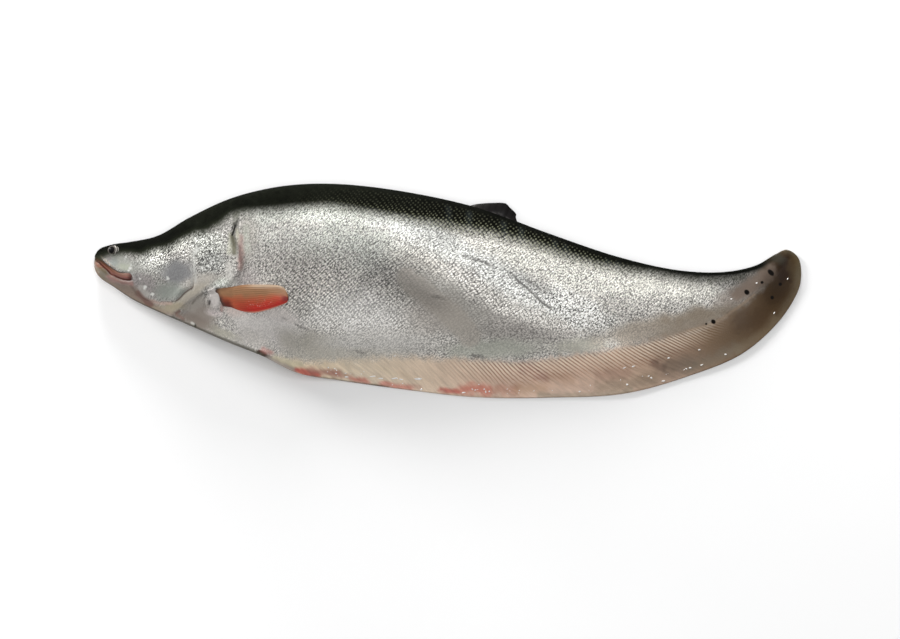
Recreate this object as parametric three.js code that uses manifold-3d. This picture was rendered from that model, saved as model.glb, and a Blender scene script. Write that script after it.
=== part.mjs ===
// A whole raw knifefish, one of the featherbacks, lying on its right side on a flat surface: a small head
// with a dished nape, a humped back, a flat silver flank, and one long ribbon fin that runs from the vent
// along the belly and round the tail. The body and its fins are grown together, so the fish is one solid.
//
// Millimetres. The head points to -X, the back to +Y, and the left flank faces up, to +Z. Places on the
// flank are drawn as [x, y], with x from the tip of the snout and y from the middle of the fish's height.
// The origin is on the surface, under the middle of the fish.
import * as THREE from "three";
import { mergeVertices } from "three/addons/utils/BufferGeometryUtils.js";
import Module from "manifold-3d";

// ---- Driving dimensions ----
const FISH_LENGTH = 700;
const GREATEST_HALF_THICKNESS = 28;
const FIN_ROOT_HALF = 1.7; // half the ribbon fin's thickness where it leaves the body
const FIN_EDGE_HALF = 0.7;
const FIN_EDGE_HEIGHT = 1.3; // how high the drooping edge of the ribbon fin lies, at its middle
const GILL_COVER_LIFT = 2.2;
const EYE_RADIUS = 4.9;
const EYE_BULGE = 1.5;
const MOUTH_CLEFT = { width: 2.2, depth: 3.2 };
const PECTORAL_THICKNESS = 1.8;
const PECTORAL_TIP_LIFT = 3.5;
const DORSAL_FIN_THICKNESS = 3;

// How finely the skin is cut into faces: stations along the fish, and points round each of them
const POINTS_ROUND = 44;
const STATIONS = [
  { from: 0, to: 1, count: 5 },
  { from: 1, to: 4, count: 24 },
  { from: 4, to: 7, count: 24 },
  { from: 7, to: 16, count: 38 },
  { from: 16, to: 19, count: 11 },
];

// The ribs, from snout to tail. Each runs from a point on the back to a point on the belly or on the edge of
// the ribbon fin. half is half the body's thickness there, mid how high its middle plane lies above the
// surface, and fin how far down the rib the ribbon fin begins, with 0 at the back and 1 at the edge.
const RIBS = [
  { name: "snout", back: [0, 24.5], belly: [0, 24.5], half: 0, mid: 11, fin: 1 },
  { name: "lips", back: [3.5, 39.5], belly: [4.5, 14], half: 8, mid: 11.5, fin: 1 },
  { name: "eye", back: [16, 45], belly: [19.5, 3.5], half: 12.5, mid: 13.5, fin: 1 },
  { name: "mouthCorner", back: [35.5, 48], belly: [39.5, -9.5], half: 16.5, mid: 16, fin: 1 },
  { name: "cheek", back: [63, 54], belly: [67, -22.5], half: 21, mid: 19, fin: 1 },
  { name: "nape", back: [95, 72], belly: [97, -35.5], half: 25, mid: 22.5, fin: 1 },
  { name: "gillEdge", back: [132.5, 89.5], belly: [132.5, -51], half: 27, mid: 25, fin: 1 },
  { name: "vent", back: [168, 99.5], belly: [168, -65.2], half: GREATEST_HALF_THICKNESS, mid: 25.5, fin: 0.985 },
  { name: "shoulder", back: [203.5, 104.5], belly: [201.5, -81.5], half: 28, mid: 24.5, fin: 0.937 },
  { name: "hump", back: [248, 104.5], belly: [243, -89], half: 27, mid: 23, fin: 0.893 },
  { name: "flank", back: [312, 96.5], belly: [307, -98], half: 25, mid: 21, fin: 0.838 },
  { name: "dorsalFin", back: [381, 81], belly: [376, -105.5], half: 22, mid: 18.5, fin: 0.805 },
  { name: "loin", back: [450, 56], belly: [450, -106], half: 17.5, mid: 15, fin: 0.755 },
  { name: "rearLoin", back: [519.5, 32.8], belly: [524.5, -102], half: 12.5, mid: 11, fin: 0.68 },
  { name: "tailRoot", back: [578.5, 20], belly: [588.5, -84.5], half: 8, mid: 7.6, fin: 0.6 },
  { name: "tailWaist", back: [623, 18.5], belly: [640, -63.2], half: 4.8, mid: 5.2, fin: 0.5 },
  { name: "tailBend", back: [654.5, 25], belly: [673.5, -35], half: 2.7, mid: 3.4, fin: 0.42 },
  { name: "tailFan", back: [674, 36], belly: [692, -9.5], half: 1.5, mid: 2.3, fin: 0.34 },
  { name: "tailLobe", back: [685.5, 40.5], belly: [699, 9], half: 0.9, mid: 1.7, fin: 0.3 },
  { name: "tailTip", back: [697, 32], belly: [697, 32], half: 0, mid: 1.3, fin: 0.3 },
];
const LAST_RIB = RIBS.length - 1;
const RIBBON_FIN_DROOPS = { from: 7, to: 9.5 }; // ribs over which its edge comes down to the surface

// Lines and marks on the head and flank
const MOUTH_LINE = [
  [-3, 30.5], [2.5, 28], [8, 23.5], [13, 20], [17.5, 16], [23.5, 12.5], [29, 10.5], [36, 10.5],
];
const MOUTH_STEPS = 18;
const CHEEK_LINE = [
  [95, 57], [98.5, 40], [99.5, 22], [97, 3], [90, -3.5], [82.5, -10], [58.5, -11.5], [50, -9],
];
const GILL_EDGE = [
  [141, 68], [137.5, 52], [142, 40], [147, 28], [144.5, 17], [134, 6.5], [118, 0], [104, -4.5],
  [93, -11], [85, -18], [76, -26],
];
const EYE_PLACE = [18, 40];
const VENT_PLACE = [166, -60];

// The pectoral fin: its upper and lower edges, from root to tip
const PECTORAL_UPPER_EDGE = [
  [119, 0.5], [138, 4], [152, 5.6], [166, 5.4], [180, 5.5], [188, 2.5], [192, -2.5],
];
const PECTORAL_LOWER_EDGE = [
  [123, -14.5], [138, -17], [148, -20.5], [160, -22], [173, -18.5], [184, -15], [192, -12],
];
const PECTORAL_STEPS = { along: 16, across: 8 };

// The dorsal fin: its foot inside the back and its free edge, from front to rear
const DORSAL_FOOT = [[366, 78], [380, 73], [395, 68], [408, 63], [418, 59]];
const DORSAL_EDGE = [[371, 84.6], [382, 86], [394, 86.6], [406.5, 86], [411.5, 81], [417.5, 75], [417.5, 68]];
const DORSAL_STEPS = { along: 12, across: 5 };

const MIDDLE_OF_OUTLINE = [349.75, -0.63]; // the origin lies under it

// ---- Small tools ----
const { clamp, lerp, smoothstep } = THREE.MathUtils;
const smoothLine = (points) => new THREE.SplineCurve(points.map(([x, y]) => new THREE.Vector2(x, y)));

// A round swelling, 1 at its middle and gone at about twice its width.
function swelling(distance, width) {
  return Math.exp(-((distance / width) ** 2));
}

// The distance from [x, y] to a drawn line, and the side of it that the point is on: +1 is left of its run.
function fromLine(x, y, line) {
  let nearest = Infinity;
  let side = 1;
  for (let i = 1; i < line.length; i++) {
    const [ax, ay] = line[i - 1];
    const [bx, by] = line[i];
    const [runX, runY] = [bx - ax, by - ay];
    const along = clamp(((x - ax) * runX + (y - ay) * runY) / (runX ** 2 + runY ** 2), 0, 1);
    const distance = Math.hypot(x - ax - along * runX, y - ay - along * runY);
    if (distance < nearest) {
      nearest = distance;
      side = Math.sign(runX * (y - ay) - runY * (x - ax)) || 1;
    }
  }
  return { distance: nearest, side };
}

// ---- The skin ----
// One smooth closed outline through the ribs' ends: along the back to the tail, and back along the belly.
const outline = new THREE.CatmullRomCurve3(
  [...RIBS.map((rib) => rib.back), ...RIBS.slice(1, LAST_RIB).reverse().map((rib) => rib.belly)]
    .map(([x, y]) => new THREE.Vector3(x, y, 0)),
  true,
  "centripetal",
);
const outlinePoints = 2 * LAST_RIB;
const backAt = (rib) => outline.getPoint(rib / outlinePoints);
const bellyAt = (rib) => outline.getPoint(((outlinePoints - rib) % outlinePoints) / outlinePoints);

function ribValue(key) {
  const line = smoothLine(RIBS.map((rib, i) => [i, rib[key]]));
  return (rib) => line.getPoint(rib / LAST_RIB).y;
}
const halfAt = ribValue("half");
const midAt = ribValue("mid");
const finAt = ribValue("fin");

// Half the thickness at a share of the way down a rib: the flesh, with a blunt back and a keeled belly, and
// the blade of the ribbon fin. Both close at the back and at the edge.
function halfThickness(rib, down) {
  const fin = finAt(rib);
  const inBody = clamp(down / fin, 0, 1);
  const bluntness = lerp(0.5, 0.95, inBody);
  const flesh = Math.max(halfAt(rib), 0) * Math.sin(Math.PI * inBody ** 0.78) ** bluntness;
  const blade = lerp(FIN_ROOT_HALF, FIN_EDGE_HALF, clamp((down - fin) / Math.max(1 - fin, 0.02), 0, 1));
  return Math.hypot(flesh, Math.min(blade, 0.6 + halfAt(rib)));
}

// How far the surface is open at this share of a rib: it closes in a small round at the back and at the edge.
function openness(down) {
  const atBack = 1 - clamp(down / 0.03, 0, 1);
  const atEdge = 1 - clamp((1 - down) / 0.012, 0, 1);
  return Math.sqrt(1 - Math.max(atBack, atEdge) ** 2);
}

// Height of the middle plane: the body holds its shape, and the ribbon fin droops until its edge lies down.
function middle(rib, down) {
  const droop = smoothstep(rib, RIBBON_FIN_DROOPS.from, RIBBON_FIN_DROOPS.to);
  const start = finAt(rib) - 0.18;
  return lerp(midAt(rib), Math.min(midAt(rib), FIN_EDGE_HEIGHT), droop * smoothstep(down, start, 1));
}

// What stands out of the flank or is sunk into it, alike on both sides: the edge of the gill cover, the
// cheek, the lips and the vent.
function relief(x, y) {
  let out = 0;
  const gill = fromLine(x, y, GILL_EDGE);
  if (x < 150) {
    const inside = gill.side < 0 ? gill.distance : -gill.distance; // the gill cover lies towards the snout
    const fade = smoothstep(x, 60, 110) * smoothstep(75 - y, 0, 16);
    out += GILL_COVER_LIFT * fade * (smoothstep(inside, -2.5, 3) - 0.6 * smoothstep(inside, 3, 28));
  }
  if (x < 110) {
    out -= 0.8 * swelling(fromLine(x, y, CHEEK_LINE).distance, 4);
    out += 0.8 * swelling(fromLine(x + 6, y - 2, CHEEK_LINE).distance, 6);
  }
  if (x < 46) {
    const lips = swelling(fromLine(x, y, MOUTH_LINE).distance, 6);
    out += 1.4 * lips * smoothstep(x, 0, 6) * smoothstep(46 - x, 0, 8);
  }
  out += 1.8 * swelling(Math.hypot((x - VENT_PLACE[0]) / 2, y - VENT_PLACE[1]), 3);
  return out;
}

// The skin's point on a rib, at a share of the way down it, on the upper or the lower side.
function skinPoint(rib, down, upper) {
  const place = backAt(rib).lerp(bellyAt(rib), down);
  const open = openness(down);
  const half = open * (halfThickness(rib, down) + open * relief(place.x, place.y));
  const mid = middle(rib, down);
  return place.setZ(upper ? mid + half : Math.max(mid - half, 0));
}

// The rib and the share down it that lie at [x, y] on the flank.
function locate(x, y) {
  let rib = 1 + (LAST_RIB - 2) * (x / FISH_LENGTH);
  let down = 0.5;
  for (let i = 0; i < 40; i++) {
    const back = backAt(rib);
    const belly = bellyAt(rib);
    down = clamp((back.y - y) / (back.y - belly.y), 0, 1);
    rib = clamp(rib + (x - lerp(back.x, belly.x, down)) / 60, 1, LAST_RIB - 1);
  }
  return { rib, down };
}

// A closed geometry from rows of points that run round the shape, with a point at each end or none.
function closedRows(rows, firstPoint, lastPoint) {
  const round = rows[0].length;
  const points = rows.flat();
  const faces = [];
  const at = (row, i) => row * round + (i % round);
  for (let row = 1; row < rows.length; row++) {
    for (let i = 0; i < round; i++) {
      faces.push(at(row - 1, i), at(row, i + 1), at(row, i));
      faces.push(at(row - 1, i), at(row - 1, i + 1), at(row, i + 1));
    }
  }
  const first = points.push(firstPoint) - 1;
  const last = points.push(lastPoint) - 1;
  for (let i = 0; i < round; i++) {
    faces.push(first, at(0, i + 1), at(0, i));
    faces.push(last, at(rows.length - 1, i), at(rows.length - 1, i + 1));
  }
  return new THREE.BufferGeometry().setFromPoints(points).setIndex(faces);
}

function middleOf(row) {
  return row.reduce((sum, point) => sum.add(point), new THREE.Vector3()).divideScalar(row.length);
}

function bodyGeometry() {
  const ribs = STATIONS.flatMap(({ from, to, count }) =>
    Array.from({ length: count }, (_, i) => lerp(from, to, (i + 1) / count)));
  ribs.pop(); // the last station is the tip itself
  const rows = ribs.map((rib) => Array.from({ length: POINTS_ROUND }, (_, i) => {
    const angle = (2 * Math.PI * i) / POINTS_ROUND;
    return skinPoint(rib, (1 - Math.cos(angle)) / 2, i <= POINTS_ROUND / 2);
  }));
  const tip = (rib) => backAt(rib).setZ(midAt(rib));
  return closedRows(rows, tip(0), tip(LAST_RIB));
}

// ---- The eyes and the mouth ----
function eye(upper) {
  const { rib, down } = locate(...EYE_PLACE);
  const skin = skinPoint(rib, down, upper);
  return new THREE.SphereGeometry(EYE_RADIUS, 18, 9)
    .scale(1, 1, (2 * EYE_BULGE) / EYE_RADIUS)
    .translate(skin.x, skin.y, skin.z + (upper ? -EYE_BULGE : EYE_BULGE));
}

// One side's half of the mouth: a cleft that runs back from the tip of the snout, where the two halves meet.
function mouthCleft(upper) {
  const line = smoothLine(MOUTH_LINE);
  const rows = [];
  for (let i = 0; i <= MOUTH_STEPS; i++) {
    const share = i / MOUTH_STEPS;
    const place = line.getPoint(share);
    const tangent = line.getTangent(share);
    const { rib, down } = locate(place.x, place.y);
    const skin = skinPoint(rib, down, upper).z;
    const inward = Math.sign(midAt(rib) - skin);
    const floor = lerp(midAt(rib) + 0.5 * inward, skin + MOUTH_CLEFT.depth * inward, smoothstep(place.x, 2, 16));
    const corner = (aside, z) =>
      new THREE.Vector3(place.x - tangent.y * aside, place.y + tangent.x * aside, z);
    const wide = (MOUTH_CLEFT.width / 2) * lerp(1, 0.4, share ** 3);
    const row = [corner(wide, skin - 6 * inward), corner(-wide, skin - 6 * inward),
      corner(-0.3 * wide, floor), corner(0.3 * wide, floor)];
    rows.push(upper ? row : row.reverse());
  }
  return closedRows(rows, middleOf(rows[0]), middleOf(rows[MOUTH_STEPS]));
}

// ---- The fins ----
// A closed blade between two drawn edges. under and over give the heights of its faces at a point.
function bladeGeometry(nearEdge, farEdge, steps, under, over) {
  const near = smoothLine(nearEdge);
  const far = smoothLine(farEdge);
  const rows = [];
  for (let i = 0; i <= steps.along; i++) {
    const across = Array.from({ length: steps.across + 1 }, (_, j) => {
      const share = { along: i / steps.along, across: j / steps.across };
      const flat = near.getPoint(share.along).lerp(far.getPoint(share.along), share.across);
      return { x: flat.x, y: flat.y, ...share };
    });
    const top = across.map((p) => new THREE.Vector3(p.x, p.y, over(p)));
    const bottom = across.map((p) => new THREE.Vector3(p.x, p.y, under(p)));
    rows.push([...top, ...bottom.reverse()]);
  }
  return closedRows(rows, middleOf(rows[0]), middleOf(rows[steps.along]));
}

const bulge = ({ across }) => 0.35 + 0.65 * Math.sqrt(Math.max(1 - (2 * across - 1) ** 2, 0));

// The pectoral fin lies folded back along the flank, rooted behind the gill opening, its tip standing clear.
function upperPectoral() {
  const skin = ({ x, y }) => {
    const { rib, down } = locate(x, y);
    return skinPoint(rib, down, true).z;
  };
  const seat = (p) => skin(p) - 0.8 + PECTORAL_TIP_LIFT * smoothstep(p.along, 0.05, 1);
  return bladeGeometry(PECTORAL_UPPER_EDGE, PECTORAL_LOWER_EDGE, PECTORAL_STEPS, seat,
    (p) => seat(p) + PECTORAL_THICKNESS * bulge(p) * lerp(1.2, 0.7, p.along));
}

// The other one is pressed flat between the right flank and the surface.
function lowerPectoral() {
  const skin = ({ x, y }) => {
    const { rib, down } = locate(x, y);
    return skinPoint(rib, down, false).z;
  };
  return bladeGeometry(PECTORAL_UPPER_EDGE, PECTORAL_LOWER_EDGE, PECTORAL_STEPS,
    (p) => Math.max(skin(p) - 1.4 * bulge(p), 0.3), (p) => skin(p) + 0.8);
}

// The small dorsal fin stands on the back's midline, a little drooped.
function dorsalFin() {
  const middleHeight = (p) => midAt(11) - 2.5 * p.across ** 2;
  const half = (p) => (DORSAL_FIN_THICKNESS / 2) * lerp(1.5, 0.45, p.across) * lerp(1, 0.8, p.along);
  return bladeGeometry(DORSAL_EDGE, DORSAL_FOOT, DORSAL_STEPS,
    (p) => middleHeight({ across: 1 - p.across }) - half({ ...p, across: 1 - p.across }),
    (p) => middleHeight({ across: 1 - p.across }) + half({ ...p, across: 1 - p.across }));
}

// ---- Joining ----
const wasm = await Module();
wasm.setup();

function solid(geometry) {
  geometry.deleteAttribute("normal");
  geometry.deleteAttribute("uv");
  const merged = mergeVertices(geometry, 1e-4);
  const made = new wasm.Manifold(new wasm.Mesh({
    numProp: 3,
    vertProperties: merged.attributes.position.array,
    triVerts: new Uint32Array(merged.index.array),
  }));
  if (made.volume() < 0) throw new Error("a piece is inside out");
  return made;
}

function geometryOf(made) {
  const { vertProperties, triVerts } = made.getMesh();
  const geometry = new THREE.BufferGeometry()
    .setAttribute("position", new THREE.BufferAttribute(new Float32Array(vertProperties), 3))
    .setIndex(new THREE.BufferAttribute(new Uint32Array(triVerts), 1));
  geometry.computeVertexNormals();
  return geometry;
}

const body = [mouthCleft(true), mouthCleft(false)]
  .reduce((rest, geometry) => rest.subtract(solid(geometry)), solid(bodyGeometry()));
const whole = [eye(true), eye(false), upperPectoral(), lowerPectoral(), dorsalFin()]
  .reduce((sum, geometry) => sum.add(solid(geometry)), body);

const skinMaterial = new THREE.MeshStandardMaterial({ color: 0xb9bab6, roughness: 0.35, metalness: 0.5 });
const fish = new THREE.Mesh(geometryOf(whole), skinMaterial);
fish.name = "fish";
fish.position.set(-MIDDLE_OF_OUTLINE[0], -MIDDLE_OF_OUTLINE[1], 0);

const group = new THREE.Group();
group.add(fish);

export default group;
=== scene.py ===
import math
import bpy
import numpy as np
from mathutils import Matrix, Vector


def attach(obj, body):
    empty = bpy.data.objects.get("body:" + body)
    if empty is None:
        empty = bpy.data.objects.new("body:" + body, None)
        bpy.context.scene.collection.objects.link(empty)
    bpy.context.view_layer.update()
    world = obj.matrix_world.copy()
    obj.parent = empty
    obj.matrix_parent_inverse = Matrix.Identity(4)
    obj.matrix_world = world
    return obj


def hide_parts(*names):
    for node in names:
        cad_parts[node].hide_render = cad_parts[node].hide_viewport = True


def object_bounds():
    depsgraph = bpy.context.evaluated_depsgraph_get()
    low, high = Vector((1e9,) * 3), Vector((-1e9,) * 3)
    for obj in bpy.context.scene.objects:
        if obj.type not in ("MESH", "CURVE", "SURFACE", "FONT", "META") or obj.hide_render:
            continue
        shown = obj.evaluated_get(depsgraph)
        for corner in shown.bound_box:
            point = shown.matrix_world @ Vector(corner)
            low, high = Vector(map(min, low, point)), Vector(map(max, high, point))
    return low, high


# A whole raw knifefish on its right side, seen from straight above. The scene is in metres, with the head
# to -X, the back to +Y and the left flank up. Places on the flank are drawn in millimetres, as (x, y), with
# x from the tip of the snout and y from the middle of the fish's height.
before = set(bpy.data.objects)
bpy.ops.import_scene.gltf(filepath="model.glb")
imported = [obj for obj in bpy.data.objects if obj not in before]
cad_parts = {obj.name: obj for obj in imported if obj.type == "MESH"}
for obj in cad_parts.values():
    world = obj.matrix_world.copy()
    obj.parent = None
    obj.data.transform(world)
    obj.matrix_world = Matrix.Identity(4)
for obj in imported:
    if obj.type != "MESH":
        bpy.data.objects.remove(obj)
cadLow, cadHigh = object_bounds()
mm = 0.001
print("frame loaded:", [round(side / mm, 1) for side in cadHigh - cadLow], "mm")


def smoothStep(value, low, high):  # 0 below low, 1 above high, smooth between
    share = np.clip((value - low) / (high - low), 0, 1)
    return share * share * (3 - 2 * share)


def mix(first, second, share):
    return first + (second - first) * share


def swelling(distance, width):  # 1 in the middle, gone at about twice the width
    return np.exp(-((distance / width) ** 2))


def tone(red, green, blue):  # a colour as a screen shows it, made linear for the shaders
    return tuple(c / 3294.6 if c < 10.3 else ((c / 255 + 0.055) / 1.055) ** 2.4 for c in (red, green, blue))


def between(start, end, leave, arrive, share):  # a cubic from start to end, with these slopes at them
    return (start + leave * share + (3 * (end - start) - 2 * leave - arrive) * share ** 2
            + (2 * (start - end) + leave + arrive) * share ** 3)


def smoothLine(points, pieces=5):  # a smooth curve through the points, each stretch cut into pieces
    points = np.array(points, float)
    last = len(points) - 1
    place = np.linspace(0, last, last * pieces + 1)
    first = np.clip(place.astype(int), 0, last - 1)
    share = (place - first)[:, None]
    before, start, end, after = (points[np.clip(first + step, 0, last)] for step in (-1, 0, 1, 2))
    return between(start, end, (end - before) / 2, (after - start) / 2, share)


# The distance from a drawn line, the side of it (+1 is left of its run) and the way along it, worked out
# for the places within reach of it
def fromLine(x, y, points, reach=1e9):
    line = smoothLine(points) if len(points) > 2 else np.array(points, float)
    distance = np.full(x.shape, 1e3)
    side = np.ones(x.shape)
    along = np.zeros(x.shape)
    low, high = line.min(0) - reach, line.max(0) + reach
    near = (x > low[0]) & (x < high[0]) & (y > low[1]) & (y < high[1])
    px, py = x[near], y[near]
    best, bestSide, bestAlong = distance[near], side[near], along[near]
    run = 0.0
    for (ax, ay), (bx, by) in zip(line[:-1], line[1:]):
        dx, dy = bx - ax, by - ay
        length = math.hypot(dx, dy) or 1e-9
        share = ((px - ax) * dx + (py - ay) * dy) / length ** 2
        held = np.clip(share, 0, 1)
        away = np.hypot(px - ax - held * dx, py - ay - held * dy)
        closer = away < best
        best = np.where(closer, away, best)
        bestSide = np.where(closer, np.where(dx * (py - ay) - dy * (px - ax) < 0, -1.0, 1.0), bestSide)
        bestAlong = np.where(closer, run + held * length, bestAlong)
        run += length
    distance[near], side[near], along[near] = best, bestSide, bestAlong
    return distance, side, along


def signedFrom(x, y, points, furthest=12):  # the distance from a line, positive on the left of its run
    distance, side, _ = fromLine(x, y, points, furthest)
    return np.minimum(distance, furthest) * side


# The body: the ribs and the rules that give its form, as the solid has them
body = {
    "middle": (349.75, -0.63),  # of the outline's box, which the frame's origin lies under
    "finRoot": 1.7,  # half the ribbon fin's thickness at its root and at its edge
    "finEdge": 0.7,
    "finEdgeHeight": 1.3,  # of the middle of that edge over the table
    "droop": (7, 9.5),  # ribs over which the ribbon fin comes down to the table
    "ribs": [  # back x, y, belly x, y, half the thickness, height of the middle, where the ribbon fin begins
        (0, 24.5, 0, 24.5, 0, 11, 1),  # snout
        (3.5, 39.5, 4.5, 14, 8, 11.5, 1),  # lips
        (16, 45, 19.5, 3.5, 12.5, 13.5, 1),  # eye
        (35.5, 48, 39.5, -9.5, 16.5, 16, 1),  # corner of the mouth
        (63, 54, 67, -22.5, 21, 19, 1),  # cheek
        (95, 72, 97, -35.5, 25, 22.5, 1),  # nape
        (132.5, 89.5, 132.5, -51, 27, 25, 1),  # edge of the gill cover
        (168, 99.5, 168, -65.2, 28, 25.5, 0.985),  # vent
        (203.5, 104.5, 201.5, -81.5, 28, 24.5, 0.937),  # shoulder
        (248, 104.5, 243, -89, 27, 23, 0.893),  # hump
        (312, 96.5, 307, -98, 25, 21, 0.838),  # flank
        (381, 81, 376, -105.5, 22, 18.5, 0.805),  # dorsal fin
        (450, 56, 450, -106, 17.5, 15, 0.755),  # loin
        (519.5, 32.8, 524.5, -102, 12.5, 11, 0.68),
        (578.5, 20, 588.5, -84.5, 8, 7.6, 0.6),  # root of the tail
        (623, 18.5, 640, -63.2, 4.8, 5.2, 0.5),
        (654.5, 25, 673.5, -35, 2.7, 3.4, 0.42),
        (674, 36, 692, -9.5, 1.5, 2.3, 0.34),
        (685.5, 40.5, 699, 9, 0.9, 1.7, 0.3),
        (697, 32, 697, 32, 0, 1.3, 0.3),  # tip of the tail
    ],
}
ribs = np.array(body["ribs"], float)
lastRib = len(ribs) - 1
outline = np.vstack([ribs[:, 0:2], ribs[-2:0:-1, 2:4]])


def outlineAt(place):  # the closed curve through the ends of the ribs
    place = np.asarray(place, float)
    first = np.floor(place).astype(int)
    share = (place - first)[..., None]
    before, start, end, after = (outline[(first + step) % len(outline)] for step in (-1, 0, 1, 2))
    gaps = [((b - a) ** 2).sum(-1, keepdims=True) ** 0.25
            for a, b in ((before, start), (start, end), (end, after))]
    leave = ((start - before) / gaps[0] - (end - before) / (gaps[0] + gaps[1])
             + (end - start) / gaps[1]) * gaps[1]
    arrive = ((end - start) / gaps[1] - (after - start) / (gaps[1] + gaps[2])
              + (after - end) / gaps[2]) * gaps[1]
    return between(start, end, leave, arrive, share)


def backAt(rib):
    return outlineAt(rib)


def bellyAt(rib):
    return outlineAt(len(outline) - np.asarray(rib, float))


def alongRibs(column, rib):  # one column of the table as a smooth curve
    values = ribs[:, column]
    first = np.clip(np.floor(rib).astype(int), 0, lastRib - 1)
    share = rib - first
    before, start, end, after = (values[np.clip(first + step, 0, lastRib)] for step in (-1, 0, 1, 2))
    return between(start, end, (end - before) / 2, (after - start) / 2, share)


def halfThickness(rib, down):
    half, fin = np.maximum(alongRibs(4, rib), 0), alongRibs(6, rib)
    inBody = np.clip(down / fin, 0, 1)
    flesh = half * np.sin(np.pi * inBody ** 0.78).clip(0) ** mix(0.5, 0.95, inBody)
    blade = mix(body["finRoot"], body["finEdge"], np.clip((down - fin) / np.maximum(1 - fin, 0.02), 0, 1))
    return np.hypot(flesh, np.minimum(blade, 0.6 + half))


def openness(down):  # the skin closes in a small round at the back and at the edge
    atBack = 1 - np.clip(down / 0.03, 0, 1)
    atEdge = 1 - np.clip((1 - down) / 0.012, 0, 1)
    return np.sqrt(1 - np.maximum(atBack, atEdge) ** 2)


def middleHeight(rib, down):  # the ribbon fin droops until its edge lies down
    height, fin = alongRibs(5, rib), alongRibs(6, rib)
    droop = smoothStep(rib, *body["droop"]) * smoothStep(down, fin - 0.18, 1)
    return mix(height, np.minimum(height, body["finEdgeHeight"]), droop)


def skinPoints(rib, down, side):  # side is +1 on the shown flank and -1 on the other
    back, belly = backAt(rib), bellyAt(rib)
    flat = mix(back, belly, down[..., None])
    height = middleHeight(rib, down) + side * openness(down) * halfThickness(rib, down)
    return np.concatenate([flat, np.maximum(height, 0)[..., None]], -1)


def locate(x, y):  # the rib, and the share down it, that lie at a drawn place, found in small steps
    rib = 1 + (lastRib - 2) * np.asarray(x, float) / 700
    for _ in range(40):
        back, belly = backAt(rib), bellyAt(rib)
        down = np.clip((back[..., 1] - y) / (back[..., 1] - belly[..., 1]), 0, 1)
        rib = np.clip(rib + (x - mix(back[..., 0], belly[..., 0], down)) / 60, 1, lastRib - 1)
    return rib, down


viewer = {"over": (351.5, -28.6), "height": 3515, "trueHeight": 15}  # places at the true height are as drawn


def asSeen(points):  # where points are seen on the drawing by a camera high over the fish
    over = np.array(viewer["over"])
    reach = viewer["height"] - viewer["trueHeight"]
    return np.moveaxis(over + (points[..., :2] - over) * reach / (viewer["height"] - points[..., 2:]), -1, 0)


def inFrame(points):  # drawn millimetres to the frame's metres
    return (points - np.array([*body["middle"], 0])) * mm


# Lines drawn on the fish, in millimetres
lines = {
    "mouth": [(0, 31.4), (2.6, 29.1), (6.1, 26.6), (10.2, 22.6), (13.2, 20), (16.2, 16.5), (20.2, 14.5),
              (24.3, 12.5), (28.8, 10.9), (34.3, 10.2), (36.4, 10.8)],
    "maxilla": [(3.4, 35.2), (4.8, 33.6), (9, 29.2), (12, 26.4), (14.7, 24.2), (16.4, 23.2), (19.2, 21.1),
                (22.7, 19.1), (25.8, 17.8), (31, 17.4), (35.2, 17), (37.4, 14.5), (37.2, 11.4)],
    "snoutFold": [(5.9, 36.4), (8, 32.8), (12.4, 29), (16, 25.8), (19.6, 22.9), (24, 20.6)],
    "cheek": [(95.4, 58), (97.2, 46), (98, 36), (98.6, 22), (99, 10), (97.6, 3.4), (93.4, 0.4), (89.2, -2.8),
              (86, -6.2), (83.2, -9), (79.6, -10.9), (74, -11.5), (65.9, -11.6), (58, -11), (52.8, -9.9),
              (47.9, -7), (44, -3)],
    "slit": [(139.6, 65), (138.4, 60), (136.4, 54.4)],
    "gill": [(141, 68), (136.6, 54), (139, 44), (144.5, 36), (146.5, 28), (144, 17.5), (133.5, 6.5),
             (118.5, 0.5), (104, -4.5), (93, -12), (85, -18.5), (79, -23.5)],
    "membrane": [(107, -3), (102, -7), (96, -13), (90, -24), (88, -30)],
    "throat": [(46, -17), (62, -22), (77, -27), (90, -30)],
    "bandEdge": [(-3, 29), (3.5, 31), (8, 33), (13, 35.2), (19, 36.2), (26.3, 36), (31.3, 35), (36.3, 33.8),
                 (41.4, 33.2), (46.4, 33.8), (51, 35.8), (56.5, 39.7), (64, 43.2), (71, 46), (78, 50),
                 (86.5, 54.2), (94, 57), (100, 59.8), (108, 60.4), (114.2, 62.6), (117.6, 65.2),
                 (124.5, 68.8), (130, 73.5), (135, 77), (147.4, 80.6), (161.9, 82), (207.3, 87.4),
                 (233, 88.4), (268.6, 81.5), (334.7, 69.6), (383.1, 60.7), (416.6, 52.8), (460.1, 39),
                 (515.4, 25.2), (552.9, 18.3), (590.4, 12.3), (627.9, 14.3), (656.6, 24.2), (672, 36)],
    "finBase": [(158, -58), (165.9, -61.7), (183.6, -66.6), (206.3, -70.6), (252.8, -69.2), (295.2, -66),
                (383.1, -69.6), (420.6, -71.6), (460.1, -66.6), (482.8, -63.4), (525.3, -56.8),
                (553.6, -50.2), (588.4, -39.8), (609.2, -33.1), (636.8, -16.8), (654.6, -1.5),
                (665.4, 10.4), (674, 24)],
}
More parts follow.
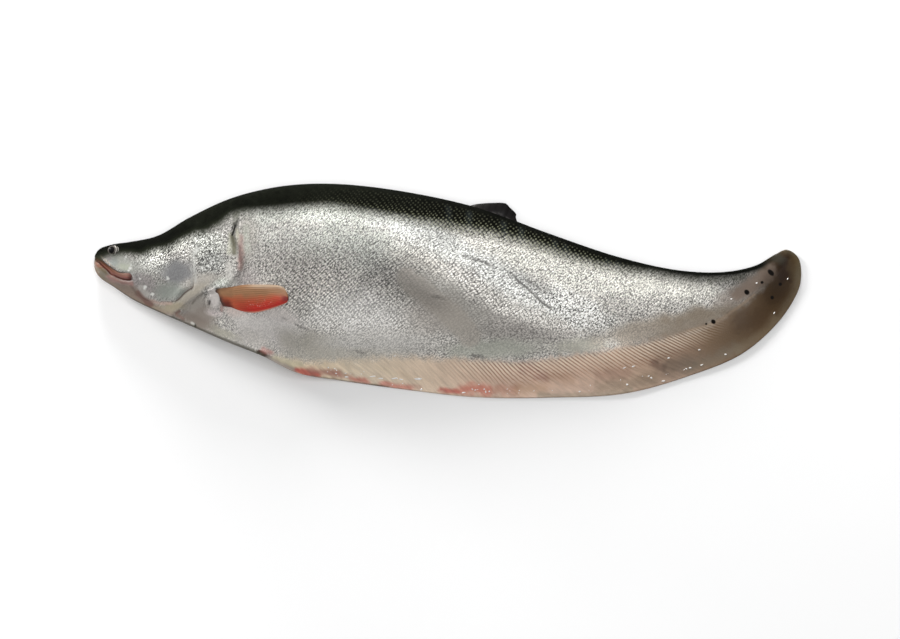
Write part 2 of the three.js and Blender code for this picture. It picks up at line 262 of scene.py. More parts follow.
flankCreases = [  # points, how deep, how wide
    ([(364, 34), (370, 32.4), (378, 30), (385, 28), (392, 24)], 0.75, 0.9),
    ([(411, 19), (415, 14), (420, 8), (427, 3), (432, -2), (440, -10), (447, -15), (452, -18)], 0.8, 0.8),
    ([(424, 12), (430, 8), (437, 5)], 0.5, 0.9),
    ([(336, -6), (341, -7), (346, -8)], 0.5, 0.8),
    ([(199, -33), (204, -36), (211, -39)], 0.6, 0.7),
    ([(186, -27), (191, -29)], 0.35, 0.7),
    ([(257, -59), (262, -61), (267, -62)], 0.55, 0.8),
    ([(268, 52), (276, 46)], 0.35, 0.8),
    ([(372, 24), (384, 12)], 0.3, 0.9),
    ([(374, -64), (380, -65), (385, -66.5)], 0.7, 0.8),
]

# The skin: fine rows of points round the body, with the mouth, the gill covers and the fin rays raised in it
skin = {
    "stations": 552,
    "upperPoints": 122,
    "lowerPoints": 50,
    "spacing": [  # of the rows, by distance from the snout
        (0, 0.85), (128, 0.95), (165, 1.7), (330, 2.3), (400, 1.5), (450, 1.25), (640, 1.2), (700, 1.4),
    ],
    "evenness": 0.55,  # how evenly the points are spread down a rib
    "gillLift": 2.2,  # how far the gill cover's edge stands out, and the groove behind it goes in
    "gillGroove": 0.9,
    "cheekLift": 0.9,
    "cheekGroove": 0.8,
    "lips": (0.7, 0.9),  # how far the upper and the lower lip stand out
    "mouthDepth": 2.4,
    "maxillaDepth": 0.75,
    "grooves": [("slit", 1.8, 0.9), ("membrane", 0.35, 1.0), ("throat", 0.6, 0.9)],  # line, depth, width
    "rayNumbers": [(-43.5, -10), (360, 82.8), (410, 94.9), (554, 134.9)],  # way along the base, and number
    "raySlant": 1.05,  # how far a ray leans to the tail for each millimetre out from the base
    "rayHeight": 0.5,
    "rayReach": (325, 628),  # where along the fish the rays show
    "swells": [  # height, turns along x and along y, start
        (0.32, 0.043, 0.021, 0.4), (0.26, -0.037, 0.055, 1.9), (0.2, 0.083, -0.047, 3.1),
        (0.14, 0.021, 0.124, 5.2),
    ],
    "streak": 0.62,  # how much longer than wide the scales look along the rising diagonal
    "bandLower": [  # how much lower than its drawn edge the dark back reaches
        (0, 1), (20, 3), (38, -0.8), (52, 1), (62, 3.2), (76, 5.6), (95, 4), (115, 3.6), (130, 4), (180, 5.6),
        (225, 6.5), (260, 5), (350, 3.4), (400, 3), (450, 2.2), (500, 4.4), (560, 2.6), (620, 3),
    ],
    "eye": (19.2, 40.2),
    "socket": (0.45, 1.5),  # height of its rim, and its depth
    "nostril": (7.6, 38.6),
    "ventSpot": (165.6, -61.6),
    "finLobe": (117.5, -9.5, 8.5, 12),  # fleshy root of the pectoral fin: middle, half width and height
    "lobePit": (113.8, -12),
}


def stationPlaces():  # closer together at the head and along the rays
    rib = np.linspace(0, lastRib, 6001)
    back, belly = backAt(rib), bellyAt(rib)
    step = np.maximum(np.hypot(*np.diff(back, axis=0).T), np.hypot(*np.diff(belly, axis=0).T))
    spacing = np.interp((back[1:, 0] + belly[1:, 0]) / 2, *zip(*skin["spacing"]))
    way = np.concatenate([[0], np.cumsum(step / spacing)])
    return np.interp(np.linspace(0, way[-1], skin["stations"] + 2)[1:-1], way, rib)


def downShares(count):
    share = np.linspace(0, 1, count + 1)
    return mix((1 - np.cos(np.pi * share)) / 2, share, skin["evenness"])


def rayPlace(x, y):  # the ray's number and the distance out from the fin's base
    distance, side, along = fromLine(x, y, lines["finBase"])
    out = -side * distance
    return np.interp(along - skin["raySlant"] * out, *zip(*skin["rayNumbers"])), out


def rayShow(x, out):  # where the rays stand out
    start, end = skin["rayReach"]
    return (smoothStep(x, start, start + 80) * smoothStep(end - x, 0, 60) * smoothStep(out, -2, 1.5)
            * smoothStep(mix(27, 20, smoothStep(x, 560, 640)) - out, 0, 13))


def headRelief(x, y):  # gill cover, cheek plate, mouth, eye socket, nostril, slit, folds and fin root
    out = np.zeros_like(x)
    distance, side, _ = fromLine(x, y, lines["gill"])
    inside = -side * distance
    fade = smoothStep(x, 60, 100) * smoothStep(75 - y, 0, 12) * (x < 158)
    out += skin["gillLift"] * fade * (smoothStep(inside, -1.0, 1.2) - 0.6 * smoothStep(inside, 1.2, 28))
    out -= skin["gillGroove"] * fade * swelling(inside + 1.9, 1.3)
    cheek, cheekSide, _ = fromLine(x, y, lines["cheek"], 14)
    edge = (0.25 + 0.75 * smoothStep(x, 70, 86)) * smoothStep(x, 44, 60) * (1 - 0.65 * smoothStep(y, 2, 14))
    out += edge * skin["cheekLift"] * swelling(cheek * cheekSide + 4.5, 3.5)
    out -= edge * skin["cheekGroove"] * swelling(cheek, 1.2)
    front = smoothStep(x, -0.5, 2.5)
    mouth, mouthSide, _ = fromLine(x, y, lines["mouth"], 14)
    maxilla, _, _ = fromLine(x, y, lines["maxilla"], 10)
    upperLip, lowerLip = skin["lips"]
    out += front * upperLip * swelling(mouth * mouthSide - 3.0, 2.4) * smoothStep(38 - x, 0, 5)
    out += front * lowerLip * swelling(mouth * mouthSide + 3.0, 2.2) * smoothStep(34 - x, 0, 8)
    out -= front * skin["mouthDepth"] * swelling(mouth, 0.85)
    out -= front * skin["maxillaDepth"] * swelling(maxilla, 0.8)
    eyeX, eyeY = skin["eye"]
    eyeAway = np.hypot(x - eyeX, (y - eyeY) * 1.3)
    rimHeight, socketDepth = skin["socket"]
    out += rimHeight * swelling(eyeAway - 6.6, 0.9) - socketDepth * smoothStep(6.4 - eyeAway, 0, 1.6)
    nostrilAway = np.hypot(x - skin["nostril"][0], y - skin["nostril"][1])
    out += 0.4 * swelling(nostrilAway - 1.5, 0.6) - 0.9 * swelling(nostrilAway, 0.8)
    for name, depth, width in skin["grooves"]:
        out -= depth * swelling(fromLine(x, y, lines[name], 6)[0], width)
    lobeX, lobeY, lobeWidth, lobeHeight = skin["finLobe"]
    lobe = np.hypot((x - lobeX) / lobeWidth, (y - lobeY) / lobeHeight)
    out += 1.5 * smoothStep(1.05 - lobe, 0, 0.35) - 0.6 * swelling((lobe - 1.1) * 9, 1.2)
    pitX, pitY = skin["lobePit"]
    out -= 0.6 * swelling(np.hypot((x - pitX) / 0.6, (y - pitY) / 1.4), 1.0)
    return out


def finRelief(x, y):
    number, out = rayPlace(x, y)
    ridge = np.abs(np.cos(np.pi * number)) ** 1.5 - 0.45
    relief = skin["rayHeight"] * ridge * rayShow(x, out)
    front = smoothStep(x, 205, 260) * smoothStep(470 - x, 0, 60)  # fainter before the rays proper
    relief += 0.08 * ridge * front * smoothStep(out, 1, 5) * smoothStep(30 - out, 0, 10)
    relief += 0.5 * smoothStep(x, 190, 240) * smoothStep(655 - x, 0, 30) * (smoothStep(-out, -1.2, 1.2) - 0.5)
    return relief


def skinRelief(x, y):  # how far the skin stands out of the smooth form
    out = np.where(x < 165, headRelief(x, y), 0) + np.where(x > 150, finRelief(x, y), 0)
    for height, acrossX, acrossY, start in skin["swells"]:
        out += height * np.sin(acrossX * x + acrossY * y + start) * smoothStep(x, 100, 170)
    for points, depth, width in flankCreases:
        away, side, _ = fromLine(x, y, points, 6)
        out += depth * (0.6 * swelling(away * side - 2 * width, 1.6 * width) - swelling(away, width))
    ventX, ventY = skin["ventSpot"]
    vent = np.hypot((x - ventX) / 2, y - ventY)
    out += 0.9 * swelling(vent - 2.4, 1.2) - 0.6 * swelling(vent, 1.1)
    return out


def skinRows():
    rib = stationPlaces()
    upper, lower = downShares(skin["upperPoints"]), downShares(skin["lowerPoints"])[1:-1][::-1]
    down = np.concatenate([upper, lower])
    side = np.concatenate([np.ones(len(upper)), -np.ones(len(lower))])
    rib, down, side = np.broadcast_arrays(rib[:, None], down[None, :], side[None, :])
    points = skinPoints(rib, down, side)
    acrossRows = np.gradient(points, axis=0)
    around = (np.roll(points, -1, 1) - np.roll(points, 1, 1)) / 2
    normal = np.cross(around, acrossRows)
    normal /= np.maximum(np.linalg.norm(normal, axis=2, keepdims=True), 1e-9)
    relief = skinRelief(*asSeen(points)) * openness(down) ** 2
    flat = (points[..., 2] < 1e-6)[..., None]  # nothing is raised where it lies on the table
    moved = np.where(flat, points, points + normal * relief[..., None])
    # and none of it reaches past the solid's own box
    low, high = (np.array(corner) / mm + np.array([*body["middle"], 0]) for corner in (cadLow, cadHigh))
    return np.clip(moved, low, high), rib, down


def closedFaces(rows, around, firstTip, lastTip):  # quads between rows that run round, and a fan at each end
    row, place = np.meshgrid(np.arange(rows - 1), np.arange(around), indexing="ij")
    after = (place + 1) % around
    quads = np.stack([row * around + place, row * around + after, (row + 1) * around + after,
                      (row + 1) * around + place], -1).reshape(-1, 4)
    ring = np.arange(around)
    fans = [(firstTip, int((i + 1) % around), int(i)) for i in ring]
    last = (rows - 1) * around
    fans += [(lastTip, last + int(i), last + int((i + 1) % around)) for i in ring]
    return quads.tolist() + fans


def makeMesh(name, points, faces, attributes=None):
    made = bpy.data.meshes.new(name)
    made.from_pydata(np.asarray(points, float).tolist(), [], faces)
    for key, values in (attributes or {}).items():
        kind, field = {3: ("FLOAT_VECTOR", "vector"), 4: ("FLOAT_COLOR", "color")}[values.shape[1]]
        layer = made.attributes.new(key, kind, "POINT")
        layer.data.foreach_set(field, np.asarray(values, np.float32).ravel())
    made.update()
    made.shade_smooth()
    piece = bpy.data.objects.new(name, made)
    bpy.context.scene.collection.objects.link(piece)
    return piece


# The colours painted over the skin before its scales, from the widest washes to the finest strokes, with
# painted light and shade among them
paint = {
    "paintedShadeTowardsBack": (1.6, 1.14),  # painted shade: how many times as light as these tones the skin is, at the belly and at the back, so the back, which the lamps light more, is painted darker
    "flank": tone(168, 165, 160),
    "washes": [  # middle, half length and width, tilt in degrees, colour, strength, how much the scales show; the pale band under the dark back and the bright diagonal band are painted highlights
        # painted highlight: the pale band just under the dark back
        ((230, 76), (95, 12), -2, (198, 200, 192), 0.85, 1.0),
        ((245, 45), (75, 24), -5, (172, 174, 167), 0.8, 1.0),
        ((200, 14), (58, 32), 0, (163, 159, 153), 0.7, 1.15),
        ((262, -22), (66, 22), 0, (182, 180, 177), 0.75, 0.6),
        ((460, 26), (140, 22), -13, (204, 202, 194), 0.9, 0.98),
        # painted highlights: the bright diagonal band across the flank, here and in the next two washes
        ((322, 56), (76, 14), -27, (214, 215, 210), 0.95, 0.92),
        ((404, 12), (84, 15), -30, (206, 206, 202), 0.95, 1.0),
        ((474, -18), (52, 14), -24, (210, 209, 205), 0.8, 1.3),
        ((575, 3), (58, 14), -3, (200, 198, 190), 0.85, 0.8),
        ((318, 12), (36, 34), -35, (150, 147, 141), 0.85, 1.1),
        ((172, -38), (44, 17), -14, (180, 176, 173), 0.9, 0.22),
        ((212, -52), (30, 14), -8, (151, 147, 138), 0.85, 0.15),
        ((285, -52), (64, 14), 0, (167, 165, 161), 0.7, 0.2),
        ((238, -64), (74, 8), 0, (158, 154, 145), 0.75, 0.15),
        ((395, -36), (54, 14), -22, (146, 142, 137), 0.85, 0.5),
        ((440, -42), (54, 11), -8, (138, 134, 130), 0.7, 0.7),
        ((346, -10), (46, 23), -38, (141, 138, 132), 0.95, 0.25),
        ((332, -22), (30, 22), 0, (143, 137, 131), 0.7, 0.25),
        ((395, -58), (52, 11), 2, (150, 151, 142), 0.92, 0.2),
        ((480, -55), (30, 9), 4, (156, 154, 144), 0.9, 0.15),
        ((545, -38), (54, 13), 14, (150, 140, 128), 0.85, 0.25),
        ((602, -24), (50, 10), 12, (128, 116, 101), 0.9, 0.1),
        ((640, 0), (34, 11), 26, (146, 134, 124), 0.85, 0.08),
        ((585, -37), (38, 8), 16, (133, 122, 109), 0.9, 0.1),
        ((150, 45), (12, 26), 0, (176, 172, 164), 0.8, 0.5),
        ((152, 12), (13, 16), 0, (176, 168, 165), 0.8, 0.45),
        ((148, -30), (24, 11), -20, (190, 186, 182), 0.7, 0.12),
        ((158, -49), (26, 11), -25, (170, 166, 161), 0.8, 0.15),
        ((72, 44), (32, 11), 24, (190, 190, 182), 0.9, 2),
        ((60, 26), (22, 12), 0, (168, 168, 162), 0.8, 1.3),
        ((38, 20), (14, 13), 0, (160, 160, 154), 0.8, 0.25),
        ((46, 8), (13, 9), -20, (148, 143, 142), 0.8, 0.35),
        ((113, 44), (18, 15), 30, (176, 177, 170), 0.9, 1.15),
        ((117, 27), (16, 14), 10, (146, 146, 142), 0.9, 1.25),
        ((82, 17), (15, 14), 0, (143, 143, 144), 0.9, 0.12),
        ((76, -1), (22, 9), 0, (146, 150, 143), 0.95, 0.06),
        ((50, 4), (16, 13), -20, (150, 144, 142), 0.85, 0.4),
        ((26, 28), (16, 8), -14, (182, 183, 175), 0.95, 0.12),
        ((19, 27.5), (6, 5), -35, (152, 159, 156), 0.6, 0),
        ((14.6, 32.2), (4, 3), -40, (150, 143, 142), 0.8, 0),
        ((30, 23), (8, 4), -10, (190, 194, 176), 0.7, 0),
        ((8, 38), (7.5, 6), -20, (62, 56, 52), 0.95, 0),
        ((28, 1), (40, 10), -31, (132, 116, 104), 0.95, 0.04),
        ((58, -18), (34, 5), -12, (138, 122, 110), 0.9, 0.04),
        ((106, 9), (20, 8), 14, (190, 184, 175), 0.9, 0.15),
        ((96, -4), (22, 5), 38, (176, 168, 154), 0.9, 0.05),
        ((78, -16), (17, 5), 4, (162, 152, 131), 0.95, 0.05),
        ((126, 7), (12, 5), 14, (204, 208, 198), 0.8, 0.7),
        ((104, -22), (22, 16), -28, (140, 131, 123), 0.95, 0.03),
        ((104, -31), (24, 6), -25, (124, 114, 106), 0.8, 0.03),
        ((100, -12), (12, 8), 40, (166, 160, 152), 0.7, 0.03),
        ((128, -42), (18, 5), -24, (150, 147, 134), 0.7, 0.05),
        ((120, -10), (7, 13), 12, (192, 186, 182), 0.95, 0.06),
        ((119, -22), (9, 4), -10, (202, 192, 190), 0.7, 0.2),
        ((139, -19), (12, 8), -20, (188, 174, 168), 0.85, 0.1),
        ((180, -21), (26, 8), -25, (178, 172, 168), 0.8, 0.15),
    ],
    "lightShadeAndTone": [  # broad lights and darks, partly painted light and shade on the flank and partly the skin's own darker tone, as at the tail: middle, half length and width, tilt, how many times as light
        ((208, 38), (66, 19), 0, 0.7),
        ((116, 50), (44, 16), 28, 0.7),
        ((76, 34), (14, 12), 0, 0.82),
        ((64, 41), (22, 11), 20, 0.84),
        ((273, 18), (25, 19), -30, 0.74),
        ((330, 57), (34, 12), -20, 0.78),
        ((200, 14), (22, 20), 0, 0.84),
        ((160, 68), (34, 10), 10, 0.8),
        ((152, 4), (12, 14), 0, 0.86),
        ((298, 13), (40, 14), -36, 0.66),
        ((352, 49), (15, 9), -20, 0.74),
        ((436, 3), (34, 9), -30, 0.74),
        ((412, 21), (22, 8), -20, 0.86),
        ((334, -9), (20, 12), -30, 0.76),
        ((392, -45), (28, 12), -15, 0.86),
        ((272, -34), (56, 14), -6, 1.3),
        ((226, -8), (14, 26), 10, 1.16),
        ((190, -43), (28, 14), -20, 0.8),
        ((509, -54), (24, 9), 5, 1.5),
        ((632, 8), (22, 15), 20, 0.5),
        ((598, 10), (22, 12), 0, 0.78),
        ((582, -12), (26, 10), 0, 0.84),
        ((150, 42), (14, 26), 0, 0.74),
        ((70, -2), (62, 24), -20, 0.72),
        ((28, 30), (17, 9), -14, 0.58),
        ((76, 38), (10, 12), 0, 0.84),
        ((90, 45), (14, 9), 20, 0.84),
        ((640, -38), (46, 24), 40, 0.66),
        ((676, 14), (22, 34), -10, 0.43),
        ((84, 20), (17, 13), 0, 0.66),
        ((113, 12), (18, 9), 10, 0.72),
        ((648, 18), (15, 8), 30, 0.56),
        ((588, -70), (34, 12), 20, 0.74),
        ((562, -66), (20, 14), 12, 0.84),
        ((158, -38), (16, 12), 0, 0.87),
        ((25, 5), (12, 8), -30, 0.82),
        ((530, -92), (60, 9), 8, 0.78),
    ],
    "ridge": (  # a painted highlight, the brightest line along the flank: points, width, how many times as light
        [(302, 46), (326, 34), (350, 17), (375, 4), (400, -12), (425, -21), (450, -33), (476, -43)], 9, 1.4,
    ),
    "strokes": [  # points, half width, softness, colour, strength, how much the scales show
        ([(309, 11), (330, -5), (347, -20), (362, -33), (371, -45)], 8, 6, (146, 140, 132), 0.75, 0.12),
        ([(97, 63), (94, 64.6)], 1.6, 3.4, (112, 112, 102), 0.8, 0),
        ([(99, 38), (104, 44)], 0.8, 2.2, (214, 214, 208), 0.6, 0),
        ([(95.6, 24), (96.6, 16), (96.6, 7)], 0.2, 1.5, (190, 190, 187), 0.5, 0),
        ([(103, 41), (98.6, 35), (99.2, 22), (100.4, 9)], 0.2, 1.9, (200, 200, 195), 0.6, 0),
        ([(103.4, 43.6), (104.4, 44.4)], 0.5, 1.2, (70, 70, 64), 0.7, 0),
        ([(134.6, 56), (134.2, 46), (133.4, 37)], 0.2, 3.4, (190, 190, 172), 0.6, 0.3),
        # painted shadow: the olive shade inside the gill opening, under its slit
        ([(136.6, 53), (138, 46), (138.6, 37)], 0.5, 4.0, (106, 104, 82), 0.85, 0),
        ([(140.8, 60), (141.6, 54), (143.4, 49)], 0.2, 3.0, (198, 195, 176), 0.7, 0.1),
        ([(145.6, 52), (145.4, 38), (144, 22)], 0.3, 4.6, (170, 142, 135), 0.8, 0.15),
        ([(143.4, 44), (143.8, 38), (144.4, 28)], 0.1, 1.9, (122, 88, 82), 0.7, 0),
        ([(133, 24), (135, 10)], 1.5, 6, (184, 181, 175), 0.75, 0.15),
        ([(150, 62), (151, 40)], 1.4, 3.0, (190, 192, 180), 0.6, 0.3),
        ([(139, 66), (140.4, 76)], 1.6, 2.6, (96, 96, 84), 0.6, 0.2),
        ([(120.4, 1.8), (123, 1.2)], 0.5, 1.0, (40, 30, 28), 0.9, 0),
        ([(127, -13), (126, -20)], 0.3, 2.2, (164, 124, 118), 0.6, 0),
        ([(81, -22.4), (84, -20.4)], 0.2, 1.9, (104, 68, 55), 0.75, 0),
        ([(82, -24.5), (88, -28.4)], 0.3, 2.8, (132, 103, 92), 0.65, 0),
        # painted shadow: the dark line along the fold of the gill membrane
        ([(108, -2.2), (103, -6.2), (97, -12.6)], 0.15, 1.2, (104, 97, 89), 0.7, 0),
        ([(114.2, -10.4), (113.8, -13.8)], 0.2, 1.1, (36, 32, 31), 0.9, 0),
        ([(99.4, -33.5), (100.2, -35.4)], 0.6, 0.9, (30, 28, 25), 0.9, 0),
        ([(96.6, -32), (98, -32.8)], 0.8, 1.2, (204, 202, 195), 0.7, 0),
        ([(124.4, -30.6), (125.6, -31.6)], 0.7, 1.2, (226, 222, 214), 0.7, 0),
        ([(56, -10.2), (65, -12.4), (76, -12.6)], 0.7, 1.6, (186, 158, 146), 0.6, 0),
        ([(43, -2), (50, -9), (56, -14)], 1.6, 2.6, (110, 76, 68), 0.7, 0),
        ([(36, 5), (40, 0), (42, -3)], 0.5, 1.4, (106, 94, 86), 0.6, 0),
        ([(46, 3), (52, -4)], 1.6, 3.0, (184, 180, 174), 0.6, 0),
        ([(2.6, 27.2), (4, 24.6), (8, 24)], 0.6, 3.2, (134, 90, 72), 0.9, 0),
        ([(0.6, 24), (1.6, 19), (5, 15)], 0.7, 1.6, (110, 84, 62), 0.7, 0),
        ([(3.6, 20.6), (8, 20.4), (11.4, 18.4)], 0.6, 2.8, (112, 98, 74), 0.8, 0),
        ([(7, 16.4), (12, 13.6)], 1.2, 3.6, (108, 101, 84), 0.75, 0),
        # painted highlight: the pink sheen below the lower lip
        ([(14.6, 13.6), (21, 10), (28, 8), (36, 6.8)], 0.3, 3.6, (156, 120, 113), 0.8, 0),
    ],
    "pale": [  # painted glints: small white flecks of wet shine, x, y, radius
        (31.3, 33.1, 1.5), (30.2, 31, 1.0), (35.8, 22.1, 1.2), (36.4, 25.2, 1.0), (34.1, 19.5, 0.9),
        (73, 11.6, 1.7), (72.4, 13.4, 0.9), (50.5, 3.5, 1.3), (57.6, -3.6, 1.4), (49.5, 1.8, 1.0),
        (106.3, 22.5, 1.0), (110, 21, 1.1), (113, 23.8, 0.9), (115.6, 27.6, 0.9), (122, 5.4, 1.3),
        (119, 3.6, 1.2), (127.5, 5.8, 1.1), (131, 3.4, 1.2), (135, 17, 1.0), (116.3, 30.4, 0.7),
        (45, 11.6, 1.0), (63, 19.4, 0.8),
    ],
    "finColours": [  # of the ribbon fin, by distance from the snout
        (150, tone(180, 172, 160)), (200, tone(191, 173, 147)), (260, tone(184, 171, 152)),
        (330, tone(184, 166, 147)), (400, tone(171, 148, 132)), (480, tone(174, 150, 133)),
        (540, tone(157, 134, 116)), (580, tone(135, 114, 97)), (610, tone(108, 88, 68)),
        (640, tone(90, 71, 50)), (665, tone(74, 55, 34)), (685, tone(70, 52, 28)), (700, tone(100, 86, 62)),
    ],
    "finStrokes": [  # on the ribbon fin and the tail
        ([(169, -63.6), (178, -67.6), (186.5, -71.8), (201, -78)], 0.3, 2.2, (100, 92, 86), 0.8, 0),
        ([(163, -60.4), (168, -63.2)], 1.4, 1.5, (44, 10, 8), 0.97, 0),
        ([(167, -58.6), (175, -61.6)], 0.4, 3.6, (158, 112, 104), 0.7, 0),
        ([(178, -67.5), (190, -71.5), (202, -73)], 1.2, 4.6, (170, 162, 138), 0.75, 0),
        ([(173, -67.6), (184, -73), (198, -79.6)], 0.8, 2.6, (138, 128, 122), 0.8, 0),
        ([(202, -79), (211, -82), (222, -84)], 1.4, 3.8, (150, 58, 53), 0.85, 0),
        ([(214, -79), (228, -80.5), (242, -82.5)], 0.4, 5.4, (132, 86, 78), 0.75, 0),
        ([(236, -80), (246, -83), (254, -85)], 0.3, 3.6, (140, 104, 92), 0.6, 0),
        ([(254, -87), (262, -88.5), (270, -90.5)], 0.6, 4.0, (152, 78, 68), 0.75, 0),
        ([(284, -92), (298, -94.6), (313, -96)], 0.3, 4.0, (166, 92, 80), 0.75, 0),
        ([(310, -93), (322, -96)], 0.3, 3.4, (150, 116, 104), 0.5, 0),
        ([(343, -98), (350, -99.4), (360, -100.4)], 0.5, 3.8, (150, 66, 56), 0.8, 0),
        ([(364, -98), (376, -97), (388, -98)], 1.4, 7.5, (162, 90, 76), 0.75, 0),
        ([(398, -98), (415, -99)], 1.0, 8.0, (150, 108, 92), 0.6, 0),
        ([(420, -98), (445, -97)], 1.0, 9.0, (154, 124, 100), 0.5, 0),
        ([(424, -77), (434, -80), (444, -84)], 0.5, 9, (134, 96, 88), 0.5, 0),
        ([(452, -83), (470, -88)], 1.0, 8.0, (140, 112, 92), 0.45, 0),
        ([(500, -84), (525, -82)], 1.5, 8.0, (134, 106, 92), 0.5, 0),
        ([(215, -84.5), (250, -90), (290, -95)], 0.4, 1.8, (104, 90, 80), 0.65, 0),
        ([(255, -77.5), (262, -81)], 0.3, 2.4, (196, 180, 158), 0.55, 0),
        ([(282, -76), (296, -83)], 0.4, 4.4, (184, 170, 148), 0.5, 0),
        ([(300, -80), (312, -86)], 0.4, 3.6, (178, 160, 138), 0.4, 0),
        ([(440, -103.5), (490, -103.5), (530, -99)], 0.6, 4, (128, 118, 102), 0.6, 0),
        ([(500, -96), (530, -92), (552, -87)], 1.0, 9, (118, 104, 84), 0.45, 0),
        ([(553, -72), (561, -76)], 0.3, 6, (90, 66, 57), 0.6, 0),
        ([(564, -76), (588, -70)], 1, 11, (98, 86, 74), 0.5, 0),
        ([(588, -77), (612, -67), (634, -56)], 1, 8, (104, 92, 76), 0.6, 0),
        ([(634, -59), (655, -47), (672, -29)], 1, 8, (104, 90, 70), 0.6, 0),
        ([(670, -36), (683, -16), (693, 2), (697, 14)], 0.6, 6, (92, 80, 62), 0.6, 0),
        ([(696, 16), (696, 27), (691, 37), (684, 40)], 1.0, 6, (94, 83, 64), 0.75, 0),
        ([(640, -30), (655, -28)], 4, 12, (72, 53, 34), 0.75, 0),
        ([(672, -4), (680, 4)], 4, 9, (64, 45, 24), 0.8, 0),
        ([(680, 16), (684, 28)], 3, 9, (49, 29, 14), 0.85, 0),
        ([(689, 22), (691, 30)], 1.5, 6, (88, 70, 42), 0.6, 0),
        ([(672, 34), (678, 30)], 2, 6, (78, 75, 64), 0.6, 0),
        ([(636, -4), (648, 4), (660, 13), (668, 20)], 2.4, 8, (133, 116, 103), 0.8, 0),
        ([(586, -40), (610, -33), (630, -21), (652, -4)], 0.4, 1.7, (150, 131, 112), 0.7, 0),
    ],
    "lip": [  # distance from the snout, colour of its upper and of its lower half
        (2, tone(44, 29, 18), tone(112, 72, 52)), (8, tone(66, 38, 22), tone(126, 80, 62)),
        (14, tone(88, 54, 37), tone(134, 84, 68)), (18, tone(116, 78, 62), tone(138, 92, 80)),
        (26, tone(130, 95, 83), tone(144, 98, 89)), (32, tone(132, 100, 88), tone(142, 92, 85)),
        (35, tone(110, 77, 70), tone(104, 54, 50)), (37, tone(98, 61, 56), tone(86, 42, 40)),
    ],
    "creaseShade": tone(98, 96, 93),
    "paintedGlint": tone(232, 232, 227),
    "lowerEdgeShade": tone(58, 55, 44),  # painted shade: the dark line along the lower edge of the head, where it turns away from the light
    "spots": [  # small black spots near the tail: x, y, radius, stretch to the lower right
        (668.3, 17.7, 2.3, 1.7), (659.5, 8, 1.5, 1.0), (644.5, -1.7, 2.4, 1.2), (677.6, 6.2, 1.7, 1.0),
        (669.6, -7, 1.8, 1.0), (611.5, -30.8, 2.1, 1.2), (604.4, -33, 1.1, 1.0),
    ],
}
lumps = np.random.default_rng(5).random((64, 64))


def cloud(x, y, size):  # soft noise from 0 to 1 with lumps of about this size
    across, up = x / size, y / size
    column, row = np.floor(across).astype(int), np.floor(up).astype(int)
    shareX, shareY = smoothStep(across - column, 0, 1), smoothStep(up - row, 0, 1)
    here, beside = column % len(lumps), (column + 1) % len(lumps)
    low, high = (mix(lumps[here, line % len(lumps)], lumps[beside, line % len(lumps)], shareX)
                 for line in (row, row + 1))
    return mix(low, high, shareY)


def ellipseAway(x, y, middle, reach, tilt):  # 0 in the middle of a tilted ellipse and 1 on it
    turn = math.radians(tilt)
    overX, overY = x - middle[0], y - middle[1]
    return np.hypot((overX * math.cos(turn) + overY * math.sin(turn)) / reach[0],
                    (overY * math.cos(turn) - overX * math.sin(turn)) / reach[1])


def tonesAlong(x, starts, colours):  # colours that run into each other from one start to the next
    return np.dstack([np.interp(x, starts, channel) for channel in zip(*colours)])


